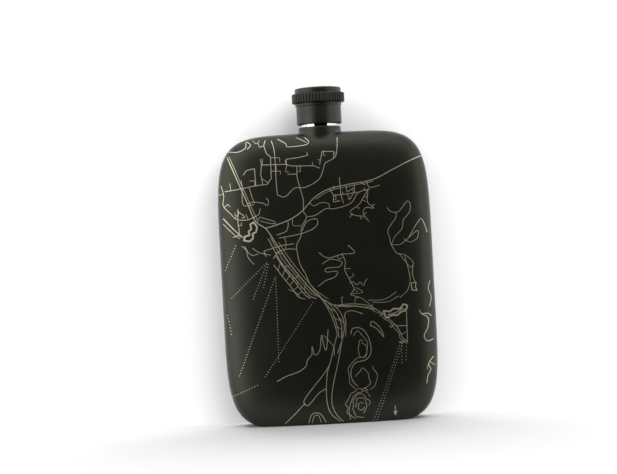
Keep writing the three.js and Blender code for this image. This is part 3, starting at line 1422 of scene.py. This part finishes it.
class StreetMap:
    """An invented town in a valley, with roads, blocks, slopes and lift lines."""

    @staticmethod
    def avenue() -> Stroke:
        """Draws the long road from the upper left to the foot of the town.

        Returns:
            The road.
        """
        return road(
            (-41.8, 120.4), (-37.6, 109.4), (-33.6, 99), (-30.6, 91.4), (-26, 87.6), (-22, 81),
            (-17.4, 73.2), (-11.6, 65), (-6.4, 58.6), (-1, 54.4), (2.6, 52.6), (12, 51.6), (20, 49.8),
        )  # fmt: skip

    @staticmethod
    def highway() -> Stroke:
        """Draws the road that climbs to the right edge.

        Returns:
            The road.
        """
        return road(
            (-26.4, 88), (-21, 89.4), (-15.2, 91.4), (-10, 94.6), (-4, 100.4), (2.4, 103.8),
            (11, 105.4), (22, 107), (31, 111), (38, 114.2), (44.6, 116.8),
        )  # fmt: skip

    def upper_left(self) -> list[Stroke]:
        """Draws the crossing, its blocks and the loops at the shoulder.

        Returns:
            The strokes.
        """
        east = block(
            (-43.6, 105.2), (-38, 105.8), (-30, 107), (-24.4, 107.4), (-22.6, 110), (-22.4, 119.4),
            (-24.2, 121), (-25.2, 124.6), (-24.4, 127),
        )  # fmt: skip
        ring = street(
            (-21.8, 126.6), (-20.6, 121), (-20.4, 104.4), (-19.2, 102), (-16.6, 101.6), (-12.6, 105),
            (-7.6, 105.2), (-1.6, 108.4), (0.6, 113), (1.6, 115.4), (5.8, 117.6), (7, 121.4),
            (7.4, 126.4),
        )  # fmt: skip
        cross = block(
            (-27, 118.6), (-26.6, 116), (-16.4, 115.8), (-13, 114.8), (-3.6, 114.4), (-1, 113.2),
        )  # fmt: skip
        shop = block((-16, 117.6), (-15.6, 115), (-15.6, 118), (-10, 118.4), (-6, 119.2), (-6.4, 120.6))
        park = block((-1, 114.8), (0.4, 120.6), (5.6, 120.2), (5.2, 117))
        return [
            east,
            ring,
            cross,
            shop,
            park,
            *east.branches(7, (2.0, 4.6), 11),
            *cross.branches(5, (1.4, 3.2), 5),
            *park.branches(3, (1.0, 2.0), 8),
            block((-29.6, 107), (-29.8, 114.6), (-33.4, 114), (-35, 112)),
            block((-26.4, 107.2), (-27.2, 112), (-26.6, 116)),
            block((-11.4, 111.2), (-15.4, 111.2)),
            street(
                (-19, 127.2), (-15.4, 124.8), (-14.6, 123.4), (-7.2, 123.8), (-5.2, 125.2), (-7, 127.2),
            ),  # fmt: skip
            street((-42, 123), (-37, 122.4), (-33.4, 124), (-33, 126.6), (-31, 125.2), (-32.6, 123.4)),
            lane((-10.8, 127.4), (-6.2, 125)),
            lane((-30, 127.2), (-28.4, 125.6), (-27, 127)),
        ]

    def upper_middle(self) -> list[Stroke]:
        """Draws the two streets that drop from the highway and the lanes between.

        Returns:
            The strokes.
        """
        link = street(
            (-11, 114.4), (-11.2, 110), (-10.2, 105.2), (-9, 99.6), (-9.2, 94.6), (-8, 92),
            (-10.4, 87.6), (-10.8, 84), (-12.8, 80.4), (-13, 77.6), (-12, 71.6), (-9.6, 66.6),
            (-8, 62.4), (-3.6, 56.4),
        )  # fmt: skip
        first = street(
            (-20.6, 83.4), (-12, 84.6), (-6, 86.4), (-3.4, 88.6), (-3.8, 91), (-8, 90), (-10.2, 86),
        )  # fmt: skip
        second = street((-23.6, 74.6), (-21, 77.4), (-17, 78.4), (-13, 78))
        return [
            link,
            first,
            second,
            street((-21.6, 84.8), (-17.4, 86.2), (-16.4, 88.2), (-16.2, 90.4)),
            lane((-14.2, 91.4), (-14, 88.6), (-10.6, 88.4)),
            lane((-18.4, 83.8), (-17.6, 81), (-18.2, 78.2)),
            lane(
                (-30, 90.4), (-28.6, 93), (-27.2, 92.6), (-22.6, 91), (-21.8, 90), (-24.6, 90.2),
                (-28.4, 91.4),
            ),  # fmt: skip
            lane((-31.6, 92.8), (-29, 94.4), (-28.2, 97)),
            lane((-34, 99.2), (-31, 99.8), (-27, 99.2), (-25, 98), (-24.4, 100), (-25.2, 101.4)),
            lane((-35.6, 106), (-36, 101), (-35, 98.4), (-30.8, 98.8)),
            lane((-32.6, 106.2), (-31.4, 101.6), (-30.6, 99.4)),
            street(
                (-7.6, 92.2), (-4, 92.6), (0.6, 95.2), (4, 95), (9, 96), (12.4, 97.6), (15.4, 101.6),
                (20, 102.8),
            ),  # fmt: skip
            lane((-6.4, 98.2), (-4.4, 96.8), (-1.4, 98), (2, 97.4), (2.2, 95.2)),
        ]

    def east_quarter(self) -> list[Stroke]:
        """Draws the close-set blocks under the highway.

        Returns:
            The strokes.
        """
        spine = block((2.8, 103.8), (4.4, 101), (10.6, 101.2), (15, 101.8))
        drop = block((7.4, 108.8), (7.6, 101), (8.6, 97.2))
        rim = street((19.2, 106.4), (20.6, 103.6), (25, 104.4))
        down = street((20.4, 103.2), (18, 100.2), (15.6, 96.6), (11.4, 93.4), (13.4, 91.6), (17.6, 91))
        tail = street((19.6, 101.6), (19.2, 97.2), (21.8, 94.4), (18.4, 94.8), (17, 92.4), (19.4, 88.6))
        return [
            spine,
            drop,
            rim,
            down,
            tail,
            block((4.4, 101), (4.2, 98), (7, 98.4)),
            block((10, 105), (10.4, 102), (13.4, 103.8)),
            block((13.6, 105.6), (13.8, 102), (11, 98.6)),
            block((16.6, 105.8), (18.6, 104.8)),
            *spine.branches(5, (1.2, 2.6), 21),
            *down.branches(5, (1.0, 2.2), 4),
            *tail.branches(3, (0.8, 1.8), 31),
        ]

    def town(self) -> list[Stroke]:
        """Draws the ladder of streets beside the avenue and the fan at its foot.

        Returns:
            The strokes.
        """
        first = street(
            (-25.4, 83.4), (-20.6, 73.4), (-15.4, 66.4), (-11.4, 61), (-8.6, 57.4), (-5.6, 55.8),
        )  # fmt: skip
        second = street((-22.4, 75.6), (-18.8, 69.4), (-14.4, 63.4), (-11, 58.4), (-8.2, 56))
        third = street((-23.6, 71.8), (-19.4, 65.6), (-15.6, 60.4), (-13.6, 57.2), (-10.6, 56))
        avenue = self.avenue()
        inner = avenue.beside(1.3, Weight.LANE)
        fan = [
            street((-4.4, 57.2), (-1, 51.6), (1.6, 45), (2.8, 39.4)),
            street((-2.6, 55.4), (1, 49.6), (3, 43), (3.4, 38.4)),
            street((-0.6, 54.2), (3, 49), (4.8, 43.4), (4.4, 38)),
            street((1.6, 53), (4.8, 49), (6, 44), (5.2, 38.6), (2.4, 31.4)),
            street((6.4, 38.6), (6.8, 44.6), (6.6, 48.6), (9.6, 49.8), (14.4, 48.2)),
        ]
        return [
            first,
            second,
            third,
            Stroke(Weight.LANE, inner.path[5:10]),
            first.beside(1.25, Weight.LANE),
            *first.rungs(Stroke(Weight.ROAD, avenue.path[5:9]), (0.2, 0.42, 0.62, 0.8)),
            *first.rungs(second, (0.24, 0.36, 0.46, 0.56, 0.66, 0.75, 0.84)),
            *second.rungs(third, (0.15, 0.3, 0.43, 0.55, 0.68, 0.8)),
            *fan,
            *fan[0].rungs(fan[2], (0.3, 0.55, 0.78)),
            *fan[2].rungs(fan[3], (0.42, 0.7)),
            block((-26.8, 75.6), (-27.6, 78), (-23.8, 79), (-19, 80.2), (-14, 80.6)),
            lane((-32.6, 79.6), (-29.6, 77.4), (-26.6, 76.6), (-24.6, 76)),
            lane((-17.6, 60.6), (-14.2, 58.8), (-12.4, 56.4)),
        ]

    def valley(self) -> list[Stroke]:
        """Draws the roads that leave the fan for the base.

        Returns:
            The strokes.
        """
        stem = street(
            (2.6, 39.4), (0.6, 33), (-1, 27.6), (-2.6, 22.6), (-3.4, 15), (-3.2, 9), (-1.6, 4.6),
            (2, 1.2),
        )  # fmt: skip
        twin = street((5, 38.6), (2.6, 28), (0, 18.6), (-1.2, 12), (-0.8, 7.4), (1, 3.8), (3.4, 1))
        return [
            stem,
            twin,
            street(
                (-1.4, 26.4), (-4.6, 22), (-10.4, 15.4), (-13.6, 10.8), (-11.6, 9.2), (-7, 14),
                (-3.4, 16.2),
            ),  # fmt: skip
            street((-13, 10.2), (-17.6, 5.6), (-22.4, 1.2)),
            street((-25, 20.2), (-20.6, 22.4), (-15, 24.2), (-11.8, 26.4), (-11, 29), (-8.8, 31.4)),
            street(
                (-8.8, 31.4), (-8.6, 35), (-7.6, 31.2), (-5.4, 33), (-4.2, 39.8), (-3.4, 35),
                (-2.4, 33.4), (-1.2, 42),
            ),  # fmt: skip
            lane((-3.2, 39.6), (-1, 37), (1, 34), (0.8, 30.4)),
        ]

    def slopes(self) -> list[Stroke]:
        """Draws the switchbacks of the middle and the contours of the lower right.

        Returns:
            The strokes.
        """
        bends = street(
            (-3.4, 76.2), (-1.2, 74.2), (1.6, 73.6), (6.6, 74.8), (12, 75), (11.6, 76.6), (9.6, 78.6),
        )  # fmt: skip
        fall = street((6.6, 75.2), (8, 71.6), (7.6, 67.8), (10.2, 62), (11.2, 59.4), (9.8, 57.4))
        folds = lane((9.4, 62), (16, 61.2), (17.4, 63.4)).wandering(0.9, 1.5, 3)
        flank = street(
            (8.6, 39.4), (9.8, 42), (13.6, 41.6), (16.4, 37.6), (17.2, 31.6), (15, 28), (9.8, 26.6),
            (7.8, 22.6), (8.6, 18.6), (10.6, 16.4),
        )  # fmt: skip
        wander = flank.beside(-1.5, Weight.LANE).wandering(0.5, 3.2, 9)
        hill = (11.6, 7.6)
        nests = [
            contour(hill, 1.4, (0.1, 0.95), 0.15, 41),
            contour(hill, 2.7, (-0.2, 0.52), 0.2, 42),
            contour(hill, 4.0, (0.0, 0.78), 0.16, 43),
            contour(hill, 5.3, (0.1, 0.66), 0.13, 44),
            contour(hill, 6.6, (0.16, 0.62), 0.12, 45),
            contour((12.6, 19.4), 3.4, (-0.28, 0.45), 0.2, 46),
            contour((14.4, 20.4), 5.0, (-0.2, 0.14), 0.16, 47),
        ]
        return [
            bends,
            fall,
            folds,
            flank,
            wander,
            *nests,
            street(
                (-2.2, 71), (1, 72.8), (4.4, 72.4), (6.6, 71.2), (5, 69.4), (-0.4, 69), (-0.6, 67.4),
                (4.2, 67.4), (3, 65), (-1, 63.6), (-4.6, 61.2),
            ),  # fmt: skip
            lane(
                (13.2, 35.4), (15.2, 33.8), (15, 30.4), (12.6, 29), (11.6, 32.4), (12.6, 36.6),
                (13.8, 36),
            ),  # fmt: skip
            street((-11.8, 1.2), (-10.6, 4.6), (-8.2, 5.6), (-6, 4.4), (-4.2, 1)),
            lane((-10.4, 1.2), (-9.2, 4.2), (-7.4, 4.2), (-6.4, 1.2)),
            *fall.branches(4, (1.6, 3.8), 14),
            lane((12.1, 59.8), (15, 57.6), (9.4, 57), (14.5, 54.9), (19.4, 50.4)),
        ]

    def right_side(self) -> list[Stroke]:
        """Draws the bundle of tracks and the loops of the right-hand edge.

        Returns:
            The strokes.
        """
        ridge = street(
            (2.4, 52.4), (9.6, 52.8), (16.4, 51.8), (21, 49.4), (25.4, 45.6), (29.6, 41), (31.6, 36.4),
            (33.4, 35.2),
        )  # fmt: skip
        loops = lane(
            (27.6, 94.4), (29.4, 92.4), (32.8, 92.4), (36.6, 96.6), (38, 95.6), (37.6, 92),
            (34.6, 88.4), (33.8, 84.8), (30.6, 81.4), (28.6, 78), (28.2, 80.6), (27.6, 84.4),
            (31.2, 89.6), (31.6, 92.2),
        )  # fmt: skip
        edge = lane(
            (28.6, 78), (32.6, 77.8), (36.4, 80.4), (40.8, 83.6), (40.4, 80.2), (37, 78.6),
            (34.4, 80.2),
        )  # fmt: skip
        return [
            ridge,
            ridge.beside(-0.9, Weight.LANE).wandering(0.35, 3.0, 12),
            *ridge.branches(6, (1.2, 3.4), 17),
            loops,
            edge,
            lane((36.4, 80.4), (40.6, 86.6), (43, 88.4), (45.2, 82.4)),
            lane((28.6, 78), (31, 74), (34.6, 73), (38, 69.6), (36.8, 67.4), (34.2, 70.6), (31.8, 74)),
            lane((34.4, 72.6), (35.8, 66), (36.2, 61.4), (34.6, 57.2), (31.2, 54.4)),
            lane((38, 69), (37.4, 64.4), (38.4, 61)),
            street((17.4, 43), (20.4, 41), (23.2, 37.4), (21.8, 41.4), (18.6, 44.6), (17.4, 43)),
            street(
                (39.6, 48.4), (40.6, 46.6), (43.4, 44.6), (43, 40.4), (41.2, 36.8), (42.6, 34.4),
                (45.4, 35.2),
            ),  # fmt: skip
            street((45, 45.4), (43.4, 46.6), (40.6, 46.6)),
            street((45, 27.4), (42.6, 24.4), (43.4, 21.8), (42, 19.2), (41.2, 15.6)),
            block((31.6, 50.2), (33.8, 48), (33.6, 34.6), (29.6, 34.8)),
            block((33.6, 41.8), (28.6, 42)),
            lane((17.2, 54), (24.4, 54), (29.8, 57)),
            lane((18.8, 53), (25.6, 52.8), (30.8, 55.2)),
            lane((45.2, 61), (44.2, 57.4), (45.4, 54), (44.4, 49.6)),
            lane((45.4, 23.4), (43, 25), (41.8, 22)),
        ]

    def left_edge(self) -> list[Stroke]:
        """Draws the lanes near the left edge.

        Returns:
            The strokes.
        """
        outer = street(
            (-45.2, 108), (-44.2, 103.4), (-44.6, 99), (-41.4, 95.2), (-38.8, 92.6), (-34, 92.2),
            (-30.8, 93.4),
        )  # fmt: skip
        spur = street((-38, 97.2), (-38.4, 91.6), (-38.2, 86.2), (-41, 84.8))
        return [
            outer,
            spur,
            *outer.branches(4, (1.4, 3.0), 6),
            *spur.branches(3, (1.2, 2.4), 2),
            road((-45, 93.4), (-40.4, 88.2), (-36.4, 84.4)),
            lane((-45.2, 91), (-41, 86.6), (-38, 84)),
            street((-38.6, 96.4), (-35.2, 93.6), (-36.6, 93.2)),
            lane((-37.4, 80.8), (-35.4, 78.8), (-34.6, 75.4), (-32.2, 72.4)),
            lane((-36, 80.6), (-34.4, 77.6), (-32.4, 76.4), (-30.2, 77)),
        ]

    def outlines(self) -> list[Stroke]:
        """Draws the bold closed shapes.

        Returns:
            The strokes.
        """
        twin = (
            (-36.2, 83.2), (-33.6, 82.6), (-32, 84), (-32.2, 86), (-30.6, 86.6), (-30, 88.8),
            (-31.4, 91), (-33, 90.2), (-32.6, 88), (-34, 87), (-33.4, 85.4), (-35.6, 85),
        )  # fmt: skip
        lake = (
            (23.6, 49), (26.4, 48.4), (28, 49.6), (31, 49.4), (32.6, 51.4), (34.4, 50.6), (33.6, 48.6),
            (31.4, 48), (29.6, 46.6), (27.4, 46.8), (24.6, 45.6),
        )  # fmt: skip
        pond = ((36.6, 60.4), (38.8, 60.8), (38.4, 58.6), (39.2, 57), (36.8, 57.4))
        return [
            Stroke(Weight.BOLD, twin, curved=False, looped=True),
            Stroke(Weight.BOLD, lake, curved=False, looped=True),
            Stroke(Weight.ROAD, pond, curved=False, looped=True),
            Stroke(Weight.ROAD, ((25.2, 47), (28.8, 47.8), (32.4, 49.6))),
        ]

    def arrow(self) -> list[Stroke]:
        """Draws the small arrow that points down at the base.

        Returns:
            The strokes.
        """
        return [
            block((26.6, 6.8), (26.6, 3.4)),
            Stroke(Weight.BOLD, ((26.6, 4.4), (26.6, 3.2)), curved=False),
            block((25.8, 4.4), (26.6, 2.5), (27.4, 4.4)),
        ]

    def strokes(self) -> list[Stroke]:
        """Lists every solid stroke.

        Returns:
            The strokes.
        """
        avenue, highway = self.avenue(), self.highway()
        return [
            avenue,
            highway,
            Stroke(Weight.LANE, avenue.beside(0.95).path[:4]),
            Stroke(Weight.LANE, highway.beside(-0.9).path[4:8]),
            *self.upper_left(),
            *self.upper_middle(),
            *self.east_quarter(),
            *self.town(),
            *self.valley(),
            *self.slopes(),
            *self.right_side(),
            *self.left_edge(),
            *self.outlines(),
            *self.arrow(),
        ]

    def lifts(self) -> list[Stroke]:
        """Lists the dotted lift lines.

        Returns:
            The lines, each from end to end.
        """
        ends = (
            ((-26.8, 72.6), (-43, 58)),
            ((-26.6, 72.2), (-33.4, 57.2)),
            ((-26, 72), (-28.6, 62)),
            ((-23.6, 65.4), (-41.4, 23.4)),
            ((-23, 66.2), (-23.6, 29)),
            ((-7.2, 54.4), (-30, 22.6)),
            ((-45, 14.2), (-33.6, 19)),
            ((-45.4, 50.4), (-44, 42)),
            ((-40, 81), (-45.2, 70.4)),
            ((30.4, 34.4), (17, 1)),
            ((31.4, 34.2), (18.4, 1)),
            ((31, 34), (30.6, 25.6)),
            ((33.2, 34), (32.4, 26.8)),
        )
        return [Stroke(Weight.LANE, pair, curved=False) for pair in ends]


@dataclass
class Engraving(SubAssembly):
    """The street map, cut through the coat of the front shell to bare steel."""

    ground: Object
    proud: float = 0.04
    depth: float = 0.1
    step: float = 0.36
    weight_step: float = 0.003
    curve_step: float = 0.001
    dot_radius: float = 0.2
    dot_pitch: float = 1.26
    dot_sides: int = 10
    probe: float = 50.0

    def graph(self, name: str, spacing: float, values: dict[str, Any]) -> ShapeGraph:
        """Starts a tree with the inputs that strokes and dots share, and some of its own.

        Args:
            name: The tree's name.
            spacing: How far apart its points are, in millimetres.
            values: Its own inputs.

        Returns:
            The tree.
        """
        shared = {
            "Ground": self.ground,
            "Depth": self.depth * MM,
            "Proud": self.proud * MM,
            "Spacing": spacing * MM,
            "Material": ENGRAVED.material(),
        }
        return ShapeGraph(name, values | shared)

    def drape(self, graph: ShapeGraph, flat: NodeSocket) -> None:
        """Ends a tree by setting shapes that lie on the XZ plane on to the ground's front face.

        Args:
            graph: The tree to end.
            flat: The flat shapes, as thick as the depth.
        """
        given = graph.given
        position = graph.out("GeometryNodeInputPosition")
        here = graph.add("ShaderNodeSeparateXYZ", {0: position}).outputs
        ray = {
            "Target Geometry": graph.shape_of("Ground"),
            "Source Position": graph.triple(here["X"], -self.probe * MM, here["Z"]),
            "Ray Direction": (0.0, 1.0, 0.0),
            "Ray Length": 2 * self.probe * MM,
        }
        hit = graph.add("GeometryNodeRaycast", ray).outputs
        back = graph.math("ADD", graph.math("MULTIPLY", given["Depth"], 0.5), here["Y"])
        rise = {0: hit["Hit Normal"], "Scale": graph.math("SUBTRACT", given["Proud"], back)}
        lift = graph.out("ShaderNodeVectorMath", rise, operation="SCALE")
        place = graph.out("ShaderNodeVectorMath", {0: hit["Hit Position"], 1: lift}, operation="ADD")
        moved = graph.out("GeometryNodeSetPosition", {"Geometry": flat, "Position": place})
        graph.close(moved, smooth=False)

    def stroke_graph(self) -> ShapeGraph:
        """Builds the tree that sweeps a stroke along each line and drapes it.

        Returns:
            The tree.
        """
        values = {"Width": Weight.STREET.value * MM, "Curved": True}
        graph = self.graph("engraved_strokes", self.step, values)
        given = graph.given
        straight = graph.out("GeometryNodeMeshToCurve", {0: given["Geometry"]})
        curved = graph.out("GeometryNodeCurveSplineType", {"Curve": straight}, spline_type="CATMULL_ROM")
        choice = {"Switch": given["Curved"], "False": straight, "True": curved}
        even = graph.even(graph.out("GeometryNodeSwitch", choice, input_type="GEOMETRY"))
        facing = {"Curve": even, "Normal": (0.0, -1.0, 0.0)}
        section = {"Width": given["Depth"], "Height": given["Width"]}
        sweep = {
            "Curve": graph.out("GeometryNodeSetCurveNormal", facing, mode="FREE"),
            "Profile Curve": graph.out("GeometryNodeCurvePrimitiveQuadrilateral", section),
            "Fill Caps": True,
        }
        self.drape(graph, graph.out("GeometryNodeCurveToMesh", sweep))
        return graph

    def dot_graph(self) -> ShapeGraph:
        """Builds the tree that sets round dots along each line and drapes them.

        Returns:
            The tree.
        """
        graph = self.graph("engraved_dots", self.dot_pitch, {"Radius": self.dot_radius * MM})
        given = graph.given
        even = graph.even(graph.out("GeometryNodeMeshToCurve", {0: given["Geometry"]}))
        dot = {"Vertices": self.dot_sides, "Radius": given["Radius"], "Depth": given["Depth"]}
        spun = {"Geometry": graph.out("GeometryNodeMeshCylinder", dot), "Rotation": (TURN / 4, 0.0, 0.0)}
        copies = {"Points": even, "Instance": graph.out("GeometryNodeTransform", spun)}
        dots = graph.out("GeometryNodeInstanceOnPoints", copies)
        self.drape(graph, graph.out("GeometryNodeRealizeInstances", {0: dots}))
        return graph

    @staticmethod
    def wires(name: str, strokes: Iterable[Stroke]) -> Object:
        """Makes one object of edges from many strokes.

        Args:
            name: The object's name.
            strokes: The strokes to lay out.

        Returns:
            The object, flat on the XZ plane.
        """
        points: list[Place] = []
        edges: list[tuple[int, int]] = []
        for stroke in strokes:
            first = len(points)
            points += [(x, 0.0, z) for x, z in stroke.path]
            edges += [(k, k + 1) for k in range(first, len(points) - 1)]
            if stroke.looped:
                edges.append((len(points) - 1, first))
        return raw_object(name, points, edges)

    def build(self) -> None:
        """Engraves and hands over the map's strokes, by weight, and the dotted lines."""
        plan = StreetMap()
        strokes = plan.strokes()
        graph = self.stroke_graph()
        for order, weight in enumerate(Weight):
            for curved in (True, False):
                chosen = [s for s in strokes if s.weight is weight and s.curved is curved]
                if not chosen:
                    continue
                kind = "curves" if curved else "blocks"
                obj = self.wires(f"engraved_{weight.name.lower()}_{kind}", chosen)
                proud = self.proud - self.weight_step * order - self.curve_step * curved
                graph.make(obj, {"Width": weight.value * MM, "Curved": curved, "Proud": proud * MM})
                self.hand_over(obj, Part.FLASK, ENGRAVED)
        dots = self.wires("engraved_lift_lines", plan.lifts())
        self.dot_graph().make(dots)
        self.hand_over(dots, Part.FLASK, ENGRAVED)


# ----------------------------------------------------------------------------------------
# The studio


@dataclass(frozen=True)
class SoftBox:
    """A soft light, placed by its azimuth and rise in degrees, as seen from the flask."""

    name: str
    azimuth: float
    rise: float
    distance: float
    width: float
    height: float
    radiance: float
    mirrored: bool = True

    def light(self, target: Vector) -> Object:
        """Lights the target.

        Args:
            target: What the light faces.

        Returns:
            The light, which the camera doesn't see.
        """
        lamp = bpy.data.lights.new(self.name, "AREA")
        lamp.shape = "RECTANGLE"
        lamp.size, lamp.size_y = self.width * MM, self.height * MM
        lamp.energy = self.radiance * math.pi * self.width * MM * self.height * MM
        obj = place_object(self.name, lamp)
        turn, tilt = math.radians(self.azimuth), math.radians(self.rise)
        way = Vector((math.cos(tilt) * math.sin(turn), -math.cos(tilt) * math.cos(turn), math.sin(tilt)))
        obj.location = (target + way * self.distance) * MM
        obj.rotation_euler = way.to_track_quat("Z", "Y").to_euler()
        obj.visible_camera = False
        obj.visible_glossy = self.mirrored
        return obj


@dataclass(frozen=True)
class Studio:
    """A pale floor and wall, soft boxes, a dark room and the camera."""

    target: Vector = Vector((0.0, -4.0, 75.0))
    wall_y: float = 13.7
    reach: float = 3000.0
    apron: float = 44.0
    eye: Vector = Vector((-7.6, -745.0, 83.2))
    roll: float = -3.1
    lens: float = 97.0
    nearest: float = 10.0
    boxes: tuple[SoftBox, ...] = (
        SoftBox("left_box", -60, 4, distance=1000, width=980, height=1600, radiance=2.15),
        SoftBox("top_box", 0, 62, distance=1000, width=1500, height=1150, radiance=1.6),
        SoftBox("right_box", 69, 6, distance=1000, width=750, height=1450, radiance=1.35),
        SoftBox("fill_box", 38, 32, distance=1600, width=1600, height=1600, radiance=2.1, mirrored=False),
        SoftBox("back_box", 180, 55, distance=1200, width=1600, height=900, radiance=7.0, mirrored=False),
    )

    def sheet(self, name: str, finish: Backdrop, low: Place, high: Place) -> Object:
        """Makes one flat card from two opposite corners.

        Args:
            name: The card's name.
            finish: What it is finished in.
            low: One corner.
            high: The corner opposite.

        Returns:
            The card.
        """
        (x0, y0, z0), (x1, y1, z1) = low, high
        corners = ((x0, y0, z0), (x1, y0, z0), (x1, y1, z1), (x0, y1, z1))
        card = raw_object(name, corners, faces=[(0, 1, 2, 3)])
        card.data.materials.append(finish.material())
        return card

    def cards(self) -> None:
        """Sets the floor and the wall that the flask stands against."""
        far, wall, near = self.reach, self.wall_y, -self.apron
        floor = self.sheet("floor", FLOOR_CARD, (-far, near, 0.0), (far, far, 0.0))
        apron = self.sheet("apron", FLOOR_CARD, (-far, -far, 0.0), (far, near, 0.0))
        back = self.sheet("wall", WALL_CARD, (-far, wall, 0.0), (far, wall, far))
        apron.visible_glossy = False
        back.visible_shadow = False

    def room(self) -> None:
        """Makes a room that gives no light and that the camera sees as white."""
        world = bpy.data.worlds.new("studio_room")
        world.use_nodes = True
        graph = Graph(world.node_tree)
        seen = graph.add("ShaderNodeLightPath").outputs["Is Camera Ray"]
        white = graph.out("ShaderNodeBackground", {"Color": (1, 1, 1, 1), "Strength": seen})
        graph.add("ShaderNodeOutputWorld", {"Surface": white})
        bpy.context.scene.world = world

    def camera(self) -> None:
        """Sets the camera in front of the flask."""
        lens = bpy.data.cameras.new("product_camera")
        lens.lens = self.lens
        lens.clip_start = self.nearest * MM
        camera = place_object("product_camera", lens)
        turned = Matrix.Rotation(TURN / 4, 4, "X") @ Matrix.Rotation(math.radians(self.roll), 4, "Z")
        camera.matrix_world = Matrix.Translation(self.eye * MM) @ turned
        bpy.context.scene.camera = camera

    def build(self) -> None:
        """Sets up everything round the flask, and colours as the screen shows them."""
        self.cards()
        self.room()
        self.camera()
        lights = [box.light(self.target) for box in self.boxes]
        bpy.context.scene.view_settings.view_transform = "Standard"


def main() -> None:
    """Builds the flask and its studio."""
    logging.basicConfig(level=logging.INFO, format="%(message)s")
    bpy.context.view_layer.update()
    form = BodyForm.from_frame()
    vessel = Vessel(form)
    vessel.build()
    NeckAndCollar(form).build()
    ScrewCap.from_frame(form).build()
    Engraving(vessel.shells[Side.FRONT]).build()
    Studio().build()


if __name__ == "__main__":
    main()
